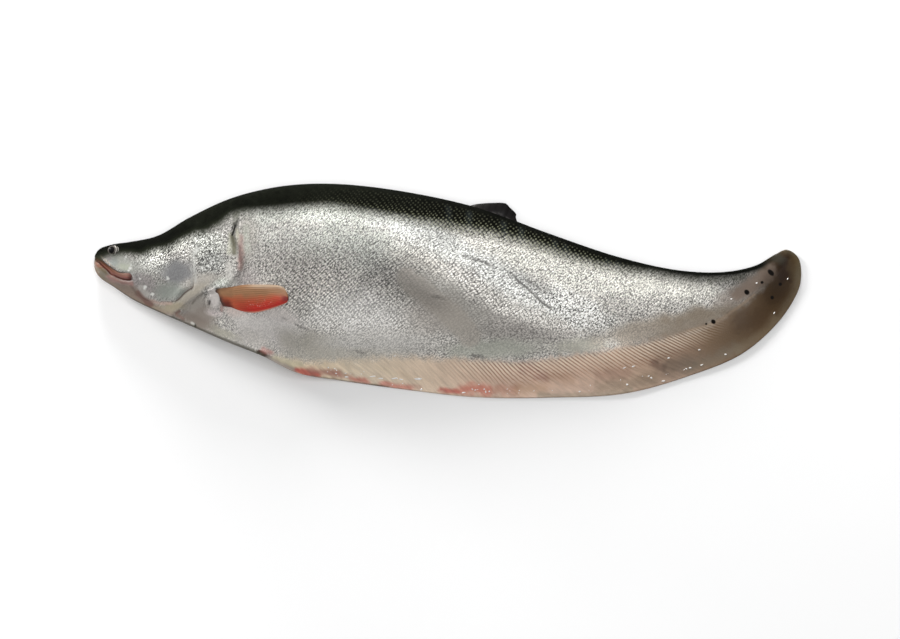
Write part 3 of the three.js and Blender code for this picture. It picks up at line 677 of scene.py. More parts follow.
def paintSkin(x, y, down):  # colour with painted light and shade in it, and how much the scales show
    colour = np.broadcast_to(np.array(paint["flank"]), (*x.shape, 3)).copy()
    scales = np.ones_like(x)
    broad = cloud(x, y, 17) + 0.5 * cloud(x + 31, y, 7) - 0.75
    fine = cloud(x, y, 4.3) + 0.6 * cloud(x, y + 17, 2.1) - 0.8

    def lay(mask, newColour, showScales):
        colour[...] = mix(colour, np.array(newColour), mask[..., None])
        scales[...] = mix(scales, showScales, mask)

    for middle, reach, tilt, newColour, strength, showScales in paint["washes"]:
        away = ellipseAway(x, y, middle, reach, tilt)
        ragged = broad * 0.5 if reach[1] > 9 else fine * 0.3
        lay(strength * smoothStep(1.35 - away + ragged, 0, 1.0), tone(*newColour), showScales)
    _, out = rayPlace(x, y)
    finColour = tonesAlong(x, *zip(*paint["finColours"]))
    inFin = smoothStep(out + 3 * fine + broad, -6, 5) * smoothStep(x, 168, 200)
    cover = np.maximum(inFin, smoothStep(x + 8 * broad, 640, 672))
    colour[...] = mix(colour, finColour, cover[..., None])
    scales[...] = scales * (1 - 0.97 * cover)
    for strokes in (paint["finStrokes"], paint["strokes"]):
        for points, halfWidth, softness, newColour, strength, showScales in strokes:
            away, _, _ = fromLine(x, y, points, halfWidth + 2 * softness)
            away = away + 0.5 * fine * softness
            lay(strength * smoothStep(halfWidth + softness - away, 0, softness), tone(*newColour), showScales)
    overMouth, underFold = signedFrom(x, y, lines["mouth"]), -signedFrom(x, y, lines["maxilla"])
    lip = smoothStep(overMouth, -0.5, 0.4) * smoothStep(underFold, -0.4, 0.4)
    lip = lip * smoothStep(x, 0.5, 2) * (x < 38)
    starts, upper, lower = zip(*paint["lip"])
    for colours, share in ((lower, 1), (upper, smoothStep(overMouth - underFold, -1.2, 0.8))):
        lay(lip * share, tonesAlong(x, starts, colours), 0)
    # painted shade in the flank's creases
    for points, depth, width in flankCreases:
        away = fromLine(x, y, points, 6)[0] + 0.8 * fine
        lay(depth * smoothStep(2.1 * width - away, 0, 1.5 * width), paint["creaseShade"], 0.6)
    # painted glints of wet shine on the head
    for placeX, placeY, radius in paint["pale"]:
        away = np.hypot(x - placeX, y - placeY) + 0.8 * fine
        lay(0.85 * smoothStep(radius + 0.5 - away, 0, 1), paint["paintedGlint"], 0)
    # painted shade along the lower edge of the head
    edge = smoothStep(down, 0.968, 0.99) * smoothStep(x, 2, 14) * smoothStep(176 - x, 0, 14)
    lay(0.85 * edge, paint["lowerEdgeShade"], 0)
    # painted shade and light: darker towards the back, lighter towards the belly
    light = mix(*paint["paintedShadeTowardsBack"], smoothStep(y, -55, 30))
    # broad painted lights and shades, with some of the skin's own darker tone
    for middle, reach, tilt, amount in paint["lightShadeAndTone"]:
        light = light * mix(1, amount, np.exp(-ellipseAway(x, y, middle, reach, tilt) ** 2.5))
    # a painted highlight along the bright diagonal of the flank
    points, width, amount = paint["ridge"]
    light = light * mix(1, amount, swelling(fromLine(x, y, points)[0], width))
    return colour * light[..., None], scales


def bandPlace(x, y):  # how far above the lower edge of the dark back a place lies
    distance, side, _ = fromLine(x, y, lines["bandEdge"])
    return distance * side + np.interp(x, *zip(*skin["bandLower"])) - 30 * smoothStep(x, 640, 668)


def makeSkin():
    points, rib, down = skinRows()
    x, y = asSeen(points)
    colour, scales = paintSkin(x, y, down)
    band = bandPlace(x, y)
    number, out = rayPlace(x, y)
    frontRays = 0.08 * smoothStep(x, 205, 260) * smoothStep(480 - x, 0, 60) * smoothStep(out, 2, 6)
    show = np.maximum(rayShow(x, out), frontRays * smoothStep(30 - out, 0, 12))
    across = down * np.hypot(*(backAt(rib) - bellyAt(rib)).transpose(2, 0, 1))
    pitch = np.interp(x, *zip(*scalePitch))
    alongWay = np.cumsum(np.gradient(x.mean(1)) / np.interp(x.mean(1), *zip(*scalePitch)))[:, None] + 0 * x
    waved = alongWay + 1.4 * cloud(x, y, 19)
    lattice = np.dstack([waved + across / pitch, skin["streak"] * (waved - across / pitch), 0 * x]) * 0.8
    tips = [[*backAt(0.0), ribs[0, 5]], [*backAt(float(lastRib)), ribs[-1, 5]]]
    verts = np.vstack([points.reshape(-1, 3), tips])
    faces = closedFaces(*x.shape, len(verts) - 2, len(verts) - 1)

    def flat(*channels):  # one row for each vertex, and the two tips take the first and the last row's
        rows = np.dstack([np.broadcast_to(channel, x.shape) for channel in channels])
        rows = rows.reshape(-1, len(channels))
        return np.vstack([rows, rows[:1], rows[-1:]])

    piece = makeMesh("fishSkin", inFrame(verts), faces, {
        "paint": flat(*np.moveaxis(colour, -1, 0), scales),
        "band": flat(band, np.minimum(x, 700), across),
        "rays": flat(number, show, out),
        "lattice": flat(*np.moveaxis(lattice, -1, 0)),
        "drawn": flat(x, y, points[..., 2]),
        "mouthLines": flat(*(signedFrom(x, y, lines[name]) for name in ("mouth", "maxilla", "snoutFold"))),
        "cheekLines": flat(*(signedFrom(x, y, lines[name]) for name in ("cheek", "slit", "gill"))),
    })
    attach(piece, "root")
    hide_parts("fish")
    return piece


def maths(operation, *values, clamp=False):
    surface = next(value.surface for value in values if isinstance(value, Wire))
    settings = {"operation": operation, "use_clamp": clamp}
    return surface.node("ShaderNodeMath", settings, dict(enumerate(values)))


class Wire:  # a node's output, with arithmetic that adds Math nodes
    def __init__(self, surface, socket):
        self.surface, self.socket = surface, socket

    def __add__(self, other):
        return maths("ADD", self, other)

    __radd__ = __add__

    def __sub__(self, other):
        return maths("SUBTRACT", self, other)

    def __rsub__(self, other):
        return maths("SUBTRACT", other, self)

    def __mul__(self, other):
        return maths("MULTIPLY", self, other)

    __rmul__ = __mul__

    def __truediv__(self, other):
        return maths("DIVIDE", self, other)

    def __pow__(self, other):
        return maths("POWER", self, other)

    def __abs__(self):
        return maths("ABSOLUTE", self)

    def held(self):  # kept between 0 and 1
        return maths("ADD", self, 0.0, clamp=True)

    def atLeast(self, other):
        return maths("MAXIMUM", self, other)

    def step(self, low, high):  # 0 at low and 1 at high, smooth between
        return self.surface.node("ShaderNodeMapRange", {"interpolation_type": "SMOOTHSTEP"},
                                 {"Value": self, "From Min": low, "From Max": high})

    def within(self, comes, goes):  # rises to 1 over one stretch and falls again over another
        return self.step(*comes) * (1 - self.step(*goes))


class Surface:  # a material with one Principled shader
    def __init__(self, name, uniform):
        self.material = bpy.data.materials.new(name)
        self.material.use_nodes = True
        self.tree = self.material.node_tree
        self.shader = self.tree.nodes["Principled BSDF"]
        self.give(uniform)

    def give(self, values):
        for key, value in values.items():
            self.feed(self.shader.inputs[key], value)

    def feed(self, socket, value):
        if isinstance(value, Wire):
            self.tree.links.new(value.socket, socket)
        elif socket.type == "RGBA":
            socket.default_value = (*value, 1.0)
        else:
            socket.default_value = value

    def cover(self, share, inputs):  # a second, plainer finish over part of the surface
        finish = self.node("ShaderNodeBsdfPrincipled", inputs=inputs)
        both = self.node("ShaderNodeMixShader", inputs={0: share})
        for place, shader in ((1, self.shader.outputs[0]), (2, finish.socket)):
            self.tree.links.new(shader, both.socket.node.inputs[place])
        self.tree.links.new(both.socket, self.tree.nodes["Material Output"].inputs["Surface"])

    def node(self, kind, settings=None, inputs=None, output=0):
        made = self.tree.nodes.new(kind)
        for key, value in (settings or {}).items():
            setattr(made, key, value)
        for key, value in (inputs or {}).items():
            self.feed(made.inputs[key], value)
        return Wire(self, made.outputs[output])

    def attribute(self, name, output):
        return self.node("ShaderNodeAttribute", {"attribute_name": name}, output=output)

    def parts(self, vector):  # x, y and z
        first = self.node("ShaderNodeSeparateXYZ", inputs={0: vector})
        return [Wire(self, socket) for socket in first.socket.node.outputs]

    def noise(self, vector, scale, detail=2.0):
        return self.node("ShaderNodeTexNoise", inputs={"Vector": vector, "Scale": scale, "Detail": detail})

    def cells(self, vector, scale, randomness, output):
        return self.node("ShaderNodeTexVoronoi", {"voronoi_dimensions": "2D"},
                         {"Vector": vector, "Scale": scale, "Randomness": randomness}, output)

    def blend(self, share, first, second, way="MIX"):  # of two colours
        return self.node("ShaderNodeMix", {"data_type": "RGBA", "blend_type": way, "clamp_factor": True},
                         {0: share, 6: first, 7: second}, 2)

    def shaded(self, colour, amount):  # a colour made lighter or darker
        return self.node("ShaderNodeVectorMath", {"operation": "SCALE"}, {0: colour, "Scale": amount})

    def scaledBy(self, vector, scales):
        return self.node("ShaderNodeVectorMath", {"operation": "MULTIPLY"}, {0: vector, 1: scales})

    def rays(self, across, count):  # 1 on each ray and 0 between two
        return abs(maths("COSINE", across * (math.pi * count)))

    def bump(self, height, depth, strength):
        return self.node("ShaderNodeBump", inputs={"Height": height, "Distance": depth, "Strength": strength})


# The look of the skin. The pitch is the millimetres between scales, by distance from the snout.
scalePitch = [(0, 2.0), (115, 2.1), (170, 2.3), (400, 2.5), (700, 2.35)]
skinLook = {
    "sparkle": 1.55,  # how far a scale's middle and its edge differ in brightness, a painted sparkle
    "glintCells": (1.36, 0.8),  # cells of the scales' pattern for each step of it, and how unevenly they lie
    "scaleCells": (0.86, 0.3),
    "bandDeep": tone(10, 11, 8),
    "bandOlive": tone(36, 39, 29),
    "bandDot": tone(134, 136, 112),
    "bandBar": tone(42, 47, 47),
    "dotsShow": ((170, 380), (450, 580)),  # where along the fish things come and where they go
    "barsShow": ((300, 380), (600, 640)),
    "lighterBack": ((70, 110), (230, 360)),
    "darkRim": ((20, 60), (658, 684)),
    "rowsShow": ((150, 210), (370, 460)),
    "rowsShowUp": ((-45, -25), (20, 60)),  # where across it, from the middle of its height
    "finShows": ((175, 215), (560, 640)),
    "rayGap": tone(196, 168, 152),
    "rayPale": tone(250, 233, 211),
    "spot": tone(8, 4, 2),
    "barPitch": 26.0,
    "scaleDepth": 0.00035,  # metres
    "fineLines": [  # attribute, part of it, half width, softness, colour, strength, where on x or y it shows
        ("mouthLines", 1, 0.3, 0.7, tone(56, 46, 38), 0.75, (0, (2, 6), (28, 33))),
        ("mouthLines", 2, 0.1, 0.8, tone(172, 148, 128), 0.55, (0, (4, 7), (16, 24))),
        ("mouthLines", 0, 0.3, 0.9, tone(84, 40, 33), 0.85, (0, (-2, 4), (38, 40))),
        ("cheekLines", 0, 0.15, 0.9, tone(100, 80, 71), 0.7, (1, (-11.6, -9.6), (3, 6))),
        ("cheekLines", 1, 0.45, 0.6, tone(12, 12, 9), 0.95, (1, (53, 55), (64, 66))),
    ],
}


def skinSurface():
    look = skinLook
    surface = Surface("wetFishSkin", {"Coat Roughness": 0.16, "Coat IOR": 1.33, "IOR": 1.45,
                                      "Specular IOR Level": 0.15})
    painted, scalesShow = surface.attribute("paint", 0), surface.attribute("paint", 3)
    band, x, across = surface.parts(surface.attribute("band", 1))
    rayPlaces = surface.attribute("rays", 1)
    number, rays, out = surface.parts(rayPlaces)
    lattice, drawn = surface.attribute("lattice", 1), surface.attribute("drawn", 1)

    # The scales: each has a bright middle, a painted sparkle, and they lie in rows that show best on the head
    # and mid flank
    away = surface.cells(lattice, *look["glintCells"], 0)
    chance = surface.parts(surface.cells(lattice, *look["glintCells"], 1))
    grain = surface.noise(drawn, 1.1, 3.0)
    patchy = surface.noise(drawn, 0.06, 3.0)
    dome = 1 - away.step(0.08, 0.58)
    brushed = surface.noise(surface.scaledBy(lattice, (2.1, 1.35, 1)), 1.0, 2.0)  # rises to the right
    dashes = surface.noise(surface.scaledBy(drawn, (1.15, 0.6, 1)), 1.0, 2.0)  # upright
    rows = surface.rays(surface.parts(lattice)[0] + 2.4 * surface.noise(lattice, 0.6, 1.0), 1.05)
    combed = 0.36 + 0.34 * (1 - x.step(60, 110))
    places = surface.parts(drawn)
    scaleAway = surface.cells(lattice, *look["scaleCells"], 0)
    inRows = x.within(*look["rowsShow"]) * places[1].within(*look["rowsShowUp"])
    streaks = (2.1 * (brushed - 0.5) + 1.9 * (dashes - 0.5)) * (1 - 0.4 * inRows)
    glitter = 0.3 - 0.5 * combed + 0.35 * dome + combed * rows + streaks
    glitter = glitter + (0.1 + 0.85 * inRows * patchy) * (0.55 - scaleAway.step(0.08, 0.52))
    glitter = (glitter + 0.35 * (patchy - 0.5) + 0.35 * (chance[0] - 0.5)).held()
    light = 1 + scalesShow * look["sparkle"] * (glitter - 0.5)
    colour = surface.shaded(painted, light)

    # Fine lines along the mouth, the cheek and the slit
    for lineName, which, halfWidth, softness, tint, strength, (axis, comes, goes) in look["fineLines"]:
        signed = surface.parts(surface.attribute(lineName, 1))[which]
        mask = 1 - (abs(signed) + 0.5 * (grain - 0.5)).step(halfWidth, halfWidth + softness)
        mask = mask * places[axis].within(comes, goes)
        colour = surface.blend(strength * mask, colour, tint)

    # The dark back: its ragged edge, faint bars, and light spots on its scales
    mottle = surface.noise(drawn, 0.16, 3.0)
    patchyEdge = band + 3 * (mottle - 0.5)
    rim = (1 - across.step(2.5, 8.0)) * x.within(*look["darkRim"])
    sharper = 1.4 - 0.4 * x.step(100, 160)
    depth = (patchyEdge * sharper).step(-10.5, 7.5).atLeast(rim)
    dotsHere = x.within(*look["dotsShow"])
    bandShare = (depth + (scaleAway - 0.4) * dotsHere * 5 * depth * (1 - depth)).held()
    deepest = (patchyEdge + 3 * (grain - 0.5)).step(-1.0, 9.0) * (1 - 0.12 * x.within(*look["lighterBack"]))
    deepest = deepest.atLeast(rim * x.step(500, 580))
    dark = surface.shaded(surface.blend(deepest, look["bandOlive"], look["bandDeep"]), 0.2 + 1.6 * mottle)
    barPlace = (x + 6 * surface.noise(drawn, 0.05, 1.0)) / look["barPitch"]
    barAway = surface.node("ShaderNodeTexVoronoi", {"voronoi_dimensions": "1D"},
                           {"W": barPlace, "Scale": 1.0, "Randomness": 0.75}, 0)
    bar = (1 - barAway.step(0.0, 0.2)) * x.within(*look["barsShow"]) * across.step(3, 9)
    dark = surface.blend(0.5 * bar, dark, look["bandBar"])
    colour = surface.blend(bandShare, colour, dark)
    dot = (1 - scaleAway.step(0.1, 0.36)) * dotsHere * (1 - 0.84 * patchyEdge.step(1, 15))
    colour = surface.blend(0.85 * dot * patchyEdge.step(-8, -2) * across.step(3, 7), colour, look["bandDot"])

    # The ribbon fin: uneven skin, gaps between the rays and pale rays near their base
    streaky = surface.noise(surface.scaledBy(rayPlaces, (1, 0, 0.07)), 1.0, 3.0)
    inFin = out.step(-1, 3) * x.within(*look["finShows"])
    colour = surface.shaded(colour, 1 + 0.8 * inFin * (streaky - 0.5))
    ray = surface.rays(number + 0.25 * (surface.noise(drawn, 0.3, 2.0) - 0.5), 1)
    clouded = surface.noise(drawn, 0.09, 2.0)
    uneven = rays * (0.45 + 1.1 * clouded)
    gap = (1 - ray).step(0.3, 0.9) * uneven
    inGap = surface.blend(1.0, colour, look["rayGap"], "MULTIPLY")
    colour = surface.blend((0.85 * gap).held(), colour, inGap)
    pale = ray.step(0.5, 0.95) * uneven * (1 - out.step(4, 20))
    colour = surface.blend((0.85 * pale * (0.6 + 0.8 * (grain - 0.2))).held(), colour, look["rayPale"])

    # The black spots near the tail
    spots = None
    for spotX, spotY, radius, stretch in paint["spots"]:
        overX, overY = places[0] - spotX, places[1] - spotY
        size = ((overX + overY) ** 2.0 + ((overX - overY) / stretch) ** 2.0) ** 0.5
        mark = 1 - (size / 1.41 + 0.9 * (grain - 0.5)).step(radius - 0.6, radius + 0.5)
        spots = mark if spots is None else spots.atLeast(mark)
    colour = surface.blend(spots, colour, look["spot"])

    # The wet finish, duller in the dark back
    silver = (scalesShow * (1 - bandShare)).held()
    bare = (1 - (patchyEdge / 6 + 0.8).held()) * (1 - spots)  # gone in the dark back and the spots
    bare = bare * (1 - 0.7 * x.step(636, 668))
    rough = 0.72 - 0.3 * bare - 0.1 * silver + 0.16 * (surface.noise(drawn, 0.35, 3.0) - 0.5)
    height = 0.8 * dome * (0.25 + 0.75 * scalesShow) + 0.5 * (grain - 0.5) + 0.5 * chance[2] * scalesShow
    bumps = surface.bump(height, look["scaleDepth"], 0.6)
    surface.give({
        "Base Color": colour,
        "Metallic": 0.3 * silver * (0.4 + 0.6 * chance[0]),
        "Roughness": rough.held(),
        "Coat Weight": (bare * (0.3 + 0.5 * (clouded - 0.35))).held(),
        "Normal": bumps,
    })
    surface.cover((1.15 * (bandShare - 0.14)).held(), {"Base Color": colour, "Roughness": 0.8,
                                                     "Specular IOR Level": 0.01, "Normal": bumps})
    return surface.material


# The eyes: a low dome in each socket
eye = {
    "centre": (19.7, 40.1),
    "across": 6.0,  # half its length along the head, and half its height
    "up": 4.8,
    "bulge": 1.3,
    "sink": 1.3,  # how deep its rim lies in the socket
    "backOfEye": 1.5,  # how far it goes on under the rim
    "uprightness": 0.45,  # how far it looks up instead of along the skin's own slope
    "pupil": (-1.3, -0.2, 2.9),  # place in the eye and radius
    "thinRing": ((0.2, 0.6), (0.8, 1.2)),  # where rings begin and end, out from the pupil
    "innerRing": ((1.3, 1.7), (1.9, 2.4)),
    "outerRing": ((3.0, 3.4), (3.8, 4.3)),
    "rings": 26,
    "segments": 56,
    "iris": (tone(26, 24, 22), tone(60, 56, 51)),
    "thinTone": tone(108, 102, 96),
    "silver": tone(196, 192, 184),
    "rim": tone(20, 18, 16),
    "black": tone(4, 4, 4),
}


def makeEye(side):
    rib, down = locate(*(np.array([value], float) for value in eye["centre"]))
    nearby = [skinPoints(rib + stepRib, down + stepDown, np.full(1, side))[0]
              for stepRib, stepDown in ((0, 0), (0.05, 0), (0, 0.05))]
    normal = np.cross(nearby[1] - nearby[0], nearby[2] - nearby[0])
    normal *= side * np.sign(normal[2]) / np.linalg.norm(normal)  # out of the skin, then turned up
    normal = mix(normal, np.array([0, 0, float(side)]), eye["uprightness"])
    normal /= np.linalg.norm(normal)
    sideways = np.array([1.0, 0, 0]) - normal * normal[0]
    sideways /= np.linalg.norm(sideways)
    upward = np.cross(normal, sideways) * (1 if side > 0 else -1)
    centre = nearby[0] - normal * eye["sink"]
    ringShare = np.linspace(0, 1, eye["rings"] + 1)[1:]
    turn = np.linspace(0, 2 * np.pi, eye["segments"], endpoint=False)
    share, turn = np.meshgrid(ringShare, turn, indexing="ij")
    localX, localY = share * np.cos(turn) * eye["across"], share * np.sin(turn) * eye["up"]
    height = (eye["bulge"] + eye["sink"]) * np.sqrt(np.clip(1 - share ** 2, 0, 1))
    points = centre + localX[..., None] * sideways + localY[..., None] * upward + height[..., None] * normal
    top = centre + normal * (eye["bulge"] + eye["sink"])
    bottom = centre - normal * eye["backOfEye"]
    verts = np.vstack([points.reshape(-1, 3), top[None], bottom[None]])
    faces = closedFaces(eye["rings"], eye["segments"], len(verts) - 2, len(verts) - 1)
    if side < 0:
        faces = [face[::-1] for face in faces]
    local = np.column_stack([localX.ravel(), localY.ravel(), share.ravel()])
    local = np.vstack([local, [[0, 0, 0]], [[0, 0, 1]]])
    piece = makeMesh("eyeLeft" if side > 0 else "eyeRight", inFrame(verts), faces, {"eyeMap": local})
    piece.data.materials.append(eyeMaterial)
    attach(piece, "root")


def eyeSurface():
    surface = Surface("eyeGloss", {"Roughness": 0.5, "Coat Roughness": 0.05, "Coat Weight": 0.06,
                                   "IOR": 1.36, "Specular IOR Level": 0.1})
    place = surface.attribute("eyeMap", 1)
    x, y, share = surface.parts(place)
    pupilX, pupilY, radius = eye["pupil"]
    overX, overY = x - pupilX, (y - pupilY) * 0.9
    away = (overX ** 2.0 + overY ** 2.0) ** 0.5
    mottled = surface.noise(place, 1.3, 3.0)
    iris = surface.blend(mottled.step(0.35, 0.65), *eye["iris"])
    beyond = away - radius
    iris = surface.blend(0.5 * beyond.within(*eye["thinRing"]), iris, eye["thinTone"])
    # silver rings on the side towards the tail: partly the iris's own silver and partly a painted highlight
    rear = (overX / away).step(0.1, 0.75)  # towards the tail
    silver = (beyond.within(*eye["innerRing"]) + beyond.within(*eye["outerRing"])) * rear
    iris = surface.blend((silver * (0.4 + 0.8 * mottled)).held(), iris, eye["silver"])
    iris = surface.blend(share.step(0.9, 1.0), iris, eye["rim"])
    colour = surface.blend(1 - beyond.step(-0.3, 0.2), iris, eye["black"])
    surface.give({"Base Color": colour, "Metallic": 0.2 * silver})
    return surface.material


# The fins that stand free: closed blades between two drawn edges, with their rays raised on both faces
pectoralFin = {
    "upperEdge": [(121, 1), (138.6, 3.4), (150, 5.2), (166, 5.4), (181.4, 5), (189, 2.4), (192, -2.5)],
    "lowerEdge": [(129, -15.8), (137, -16.8), (145.2, -19.8), (155, -21.8), (163, -21.6), (175, -18.6),
                  (186, -14.8), (192, -12)],
    "roundEnd": 1.4,  # how far the middle of its end reaches beyond the corners
    "steps": (84, 96),
    "rays": 13,
    "rayHeight": 0.1,
    "thickness": (2.1, 0.8),  # at the root and at the tip
    "seat": (-0.9, 2.4),  # how far its under face lies off the skin at the root and at the tip
    "root": tone(84, 62, 54),
    "maroon": tone(96, 30, 27),
    "orange": tone(160, 118, 84),
    "redOrange": tone(180, 92, 60),
    "red": tone(186, 44, 34),
    "darkRed": tone(118, 14, 14),
    "rim": tone(214, 150, 128),
    "pale": tone(196, 168, 140),
    "paintedGlint": tone(244, 196, 184),
}
dorsalFin = {
    "edge": [(370, 83.5), (379, 85.5), (393.5, 86.5), (405.5, 86.2), (410.5, 82), (416.5, 76),
             (416.5, 72), (418, 67.5)],
    "foot": [(368, 79), (380, 75), (395, 70), (408, 65), (418, 61)],
    "steps": (90, 30),
    "rays": 9,
    "rayHeight": 0.12,
    "thickness": (3.4, 0.9),  # at the foot and at the edge
    "rib": 11,  # the rib whose middle it stands on
    "droop": 2.4,
    "front": tone(38, 36, 33),
    "dark": tone(16, 13, 13),
    "rear": tone(30, 24, 24),
    "fold": tone(98, 96, 92),
}


def bladeRows(first, second, steps):  # points between two edges, and the shares along and across
    alongCount, acrossCount = steps
    share = np.linspace(0, 1, alongCount + 1)
    edges = []
    for points in (first, second):
        line = smoothLine(points, 24)
        way = np.concatenate([[0], np.cumsum(np.hypot(*np.diff(line, axis=0).T))])
        edges.append(np.column_stack([np.interp(share * way[-1], way, line[:, axis]) for axis in range(2)]))
    acrossShare = (1 - np.cos(np.pi * np.linspace(0, 1, acrossCount + 1))) / 2  # closer near both edges
    along, across = np.meshgrid(share, acrossShare, indexing="ij")
    flat = mix(edges[0][:, None], edges[1][:, None], across[..., None])
    return flat, along, across


def blade(name, flat, low, high, rideSlot, attributes, material):
    def around(values):  # the upper face, then back along the under one
        return np.concatenate([values, values[:, ::-1]], 1)

    points = np.concatenate([np.dstack([flat, high]), np.dstack([flat, low])[:, ::-1]], 1)
    rows, count = points.shape[:2]
    verts = np.vstack([points.reshape(-1, 3), points[0].mean(0)[None], points[-1].mean(0)[None]])
    faces = closedFaces(rows, count, len(verts) - 2, len(verts) - 1)
    values = {key: np.vstack([around(value).reshape(-1, value.shape[2]), around(value)[0].mean(0)[None],
                              around(value)[-1].mean(0)[None]]) for key, value in attributes.items()}
    piece = makeMesh(name, inFrame(verts), faces, values)
    piece.data.materials.append(material)
    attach(piece, "root")


def skinHeight(x, y, side):
    rib, down = locate(x, y)
    points = skinPoints(rib, down, np.full(x.shape, float(side)))
    return points[..., 2] + side * skinRelief(*asSeen(points)) * (x > 140)


def rounded(share, part):  # how far a blade has opened, over the first part of the share
    return np.sqrt(np.clip(share / part, 0.02, 1))


def finRays(across, along, rays, height):
    fade = smoothStep(along, 0.06, 0.3)
    return height * fade * (np.abs(np.cos(np.pi * rays * across)) - 0.5)


def makePectoral(side):
    fin = pectoralFin
    flat, along, across = bladeRows(fin["upperEdge"], fin["lowerEdge"], fin["steps"])
    flat[..., 0] += fin["roundEnd"] * along ** 6 * (1 - (2 * across - 1) ** 2)
    flat[..., 0] += 0.35 * along ** 8 * np.abs(np.cos(np.pi * fin["rays"] * across))
    bulge = 0.3 + 0.7 * np.sqrt(np.clip(1 - (2 * across - 1) ** 2, 0, 1))
    closing = np.sqrt(np.clip(1 - (2 * across - 1) ** 8, 0, 1)) * rounded(1 - along, 0.03)
    rays = finRays(across, along, fin["rays"], fin["rayHeight"])
    half = (mix(*fin["thickness"], along) * bulge / 2 + rays) * closing
    skinAt = skinHeight(flat[..., 0], flat[..., 1], side)
    if side > 0:
        middle = skinAt + mix(*fin["seat"], smoothStep(along, 0.03, 1)) + mix(*fin["thickness"], along) / 2
        middle = middle + 0.5 * np.sin(5 * along + 4 * across) * along
        low, high = middle - half, middle + half
    else:  # pressed flat between the right flank and the table
        low = np.maximum(skinAt - 1.3 * bulge, 0.3)
        high = skinAt + 0.7
    blade("pectoralFinLeft" if side > 0 else "pectoralFinRight", flat, low, high, "pectoral_fin",
          {"finMap": np.dstack([along, across, np.zeros_like(along)])}, pectoralMaterial)


def makeDorsal():
    fin = dorsalFin
    flat, along, across = bladeRows(fin["edge"], fin["foot"], fin["steps"])
    up = 1 - across
    rays = finRays(along, up, fin["rays"], fin["rayHeight"])
    closing = rounded(across, 0.04) * rounded(along, 0.03) * rounded(1 - along, 0.03)
    half = (mix(*fin["thickness"], up) / 2 + rays) * closing
    middle = float(alongRibs(5, np.array([float(fin["rib"])]))[0]) - fin["droop"] * up ** 2
    blade("dorsalFin", flat, middle - half, middle + half, "dorsal_fin",
          {"finMap": np.dstack([along, up, np.zeros_like(along)])}, dorsalMaterial)


def pectoralSurface():
    fin = pectoralFin
    surface = Surface("redFinMembrane", {"Coat Roughness": 0.1, "Coat Weight": 0.35, "IOR": 1.4,
                                         "Specular IOR Level": 0.3})
    place = surface.attribute("finMap", 1)
    along, across, _ = surface.parts(place)
    blotch = surface.noise(surface.scaledBy(place, (7, 4, 1)), 1.0, 3.0) - 0.5
    colour = surface.blend((across + 0.3 * blotch).step(0.26, 0.62), fin["orange"], fin["redOrange"])
    red = (across + 0.1 * along + 0.4 * blotch).step(0.46, 0.98) * along.step(0.1, 0.4)
    colour = surface.blend(red, colour, fin["red"])
    colour = surface.blend((1 - across.step(0.02, 0.2)) * along.step(0.35, 0.6), colour, fin["pale"])
    tip = along.step(0.86, 0.95) * across.within((0.4, 0.55), (0.72, 0.9))
    colour = surface.blend(0.9 * tip, colour, fin["darkRed"])
    colour = surface.blend(0.8 * across.step(0.93, 0.99) * along.step(0.2, 0.5), colour, fin["rim"])
    # painted glints: small white flecks of wet shine on the fin
    paintedGlint = surface.noise(surface.scaledBy(place, (60, 16, 1)), 1.0, 1.0).step(0.63, 0.7)
    paintedGlint = paintedGlint * across.within((0.52, 0.6), (0.78, 0.86)) * along.within((0.35, 0.5), (0.7, 0.8))
    colour = surface.blend(0.8 * paintedGlint, colour, fin["paintedGlint"])
    maroon = (1 - (along + 0.2 * blotch).step(0.08, 0.24)) * across.step(0.4, 0.85)
    colour = surface.blend(0.85 * maroon, colour, fin["maroon"])
    colour = surface.blend(1 - (along + 0.12 * blotch).step(0.0, 0.08), colour, fin["root"])
    ray = surface.rays(across, fin["rays"])
    colour = surface.shaded(colour, 0.83 + 0.16 * ray + 0.45 * blotch)
    grain = surface.noise(surface.scaledBy(place, (70, 36, 1)), 1.0, 3.0)
    surface.give({"Base Color": colour, "Roughness": (0.3 + 0.3 * grain).held(),
                  "Normal": surface.bump(0.6 * grain + 0.5 * ray, 0.0002, 0.5)})
    return surface.material


def dorsalSurface():
    fin = dorsalFin
    surface = Surface("darkFinMembrane", {"Coat Roughness": 0.2, "Coat Weight": 0.06,
                                          "Specular IOR Level": 0.08})
    place = surface.attribute("finMap", 1)
    along, up, _ = surface.parts(place)
    blotch = surface.noise(surface.scaledBy(place, (7, 4, 1)), 1.0, 3.0)
    colour = surface.blend((along + 0.4 * (blotch - 0.5)).step(0.08, 0.4), fin["front"], fin["dark"])
    colour = surface.blend((along + 0.4 * (blotch - 0.5)).step(0.75, 1.0), colour, fin["rear"])
    colour = surface.blend(0.6 * (1 - up.step(0.25, 0.5)) * blotch.step(0.4, 0.6), colour, fin["fold"])
    ray = surface.rays(along, fin["rays"])
    colour = surface.shaded(colour, 0.62 + 0.12 * ray)
    surface.give({"Base Color": colour, "Roughness": (0.4 + 0.3 * blotch).held(),
                  "Normal": surface.bump(0.4 * ray + 0.6 * blotch, 0.0003, 0.7)})
    return surface.material


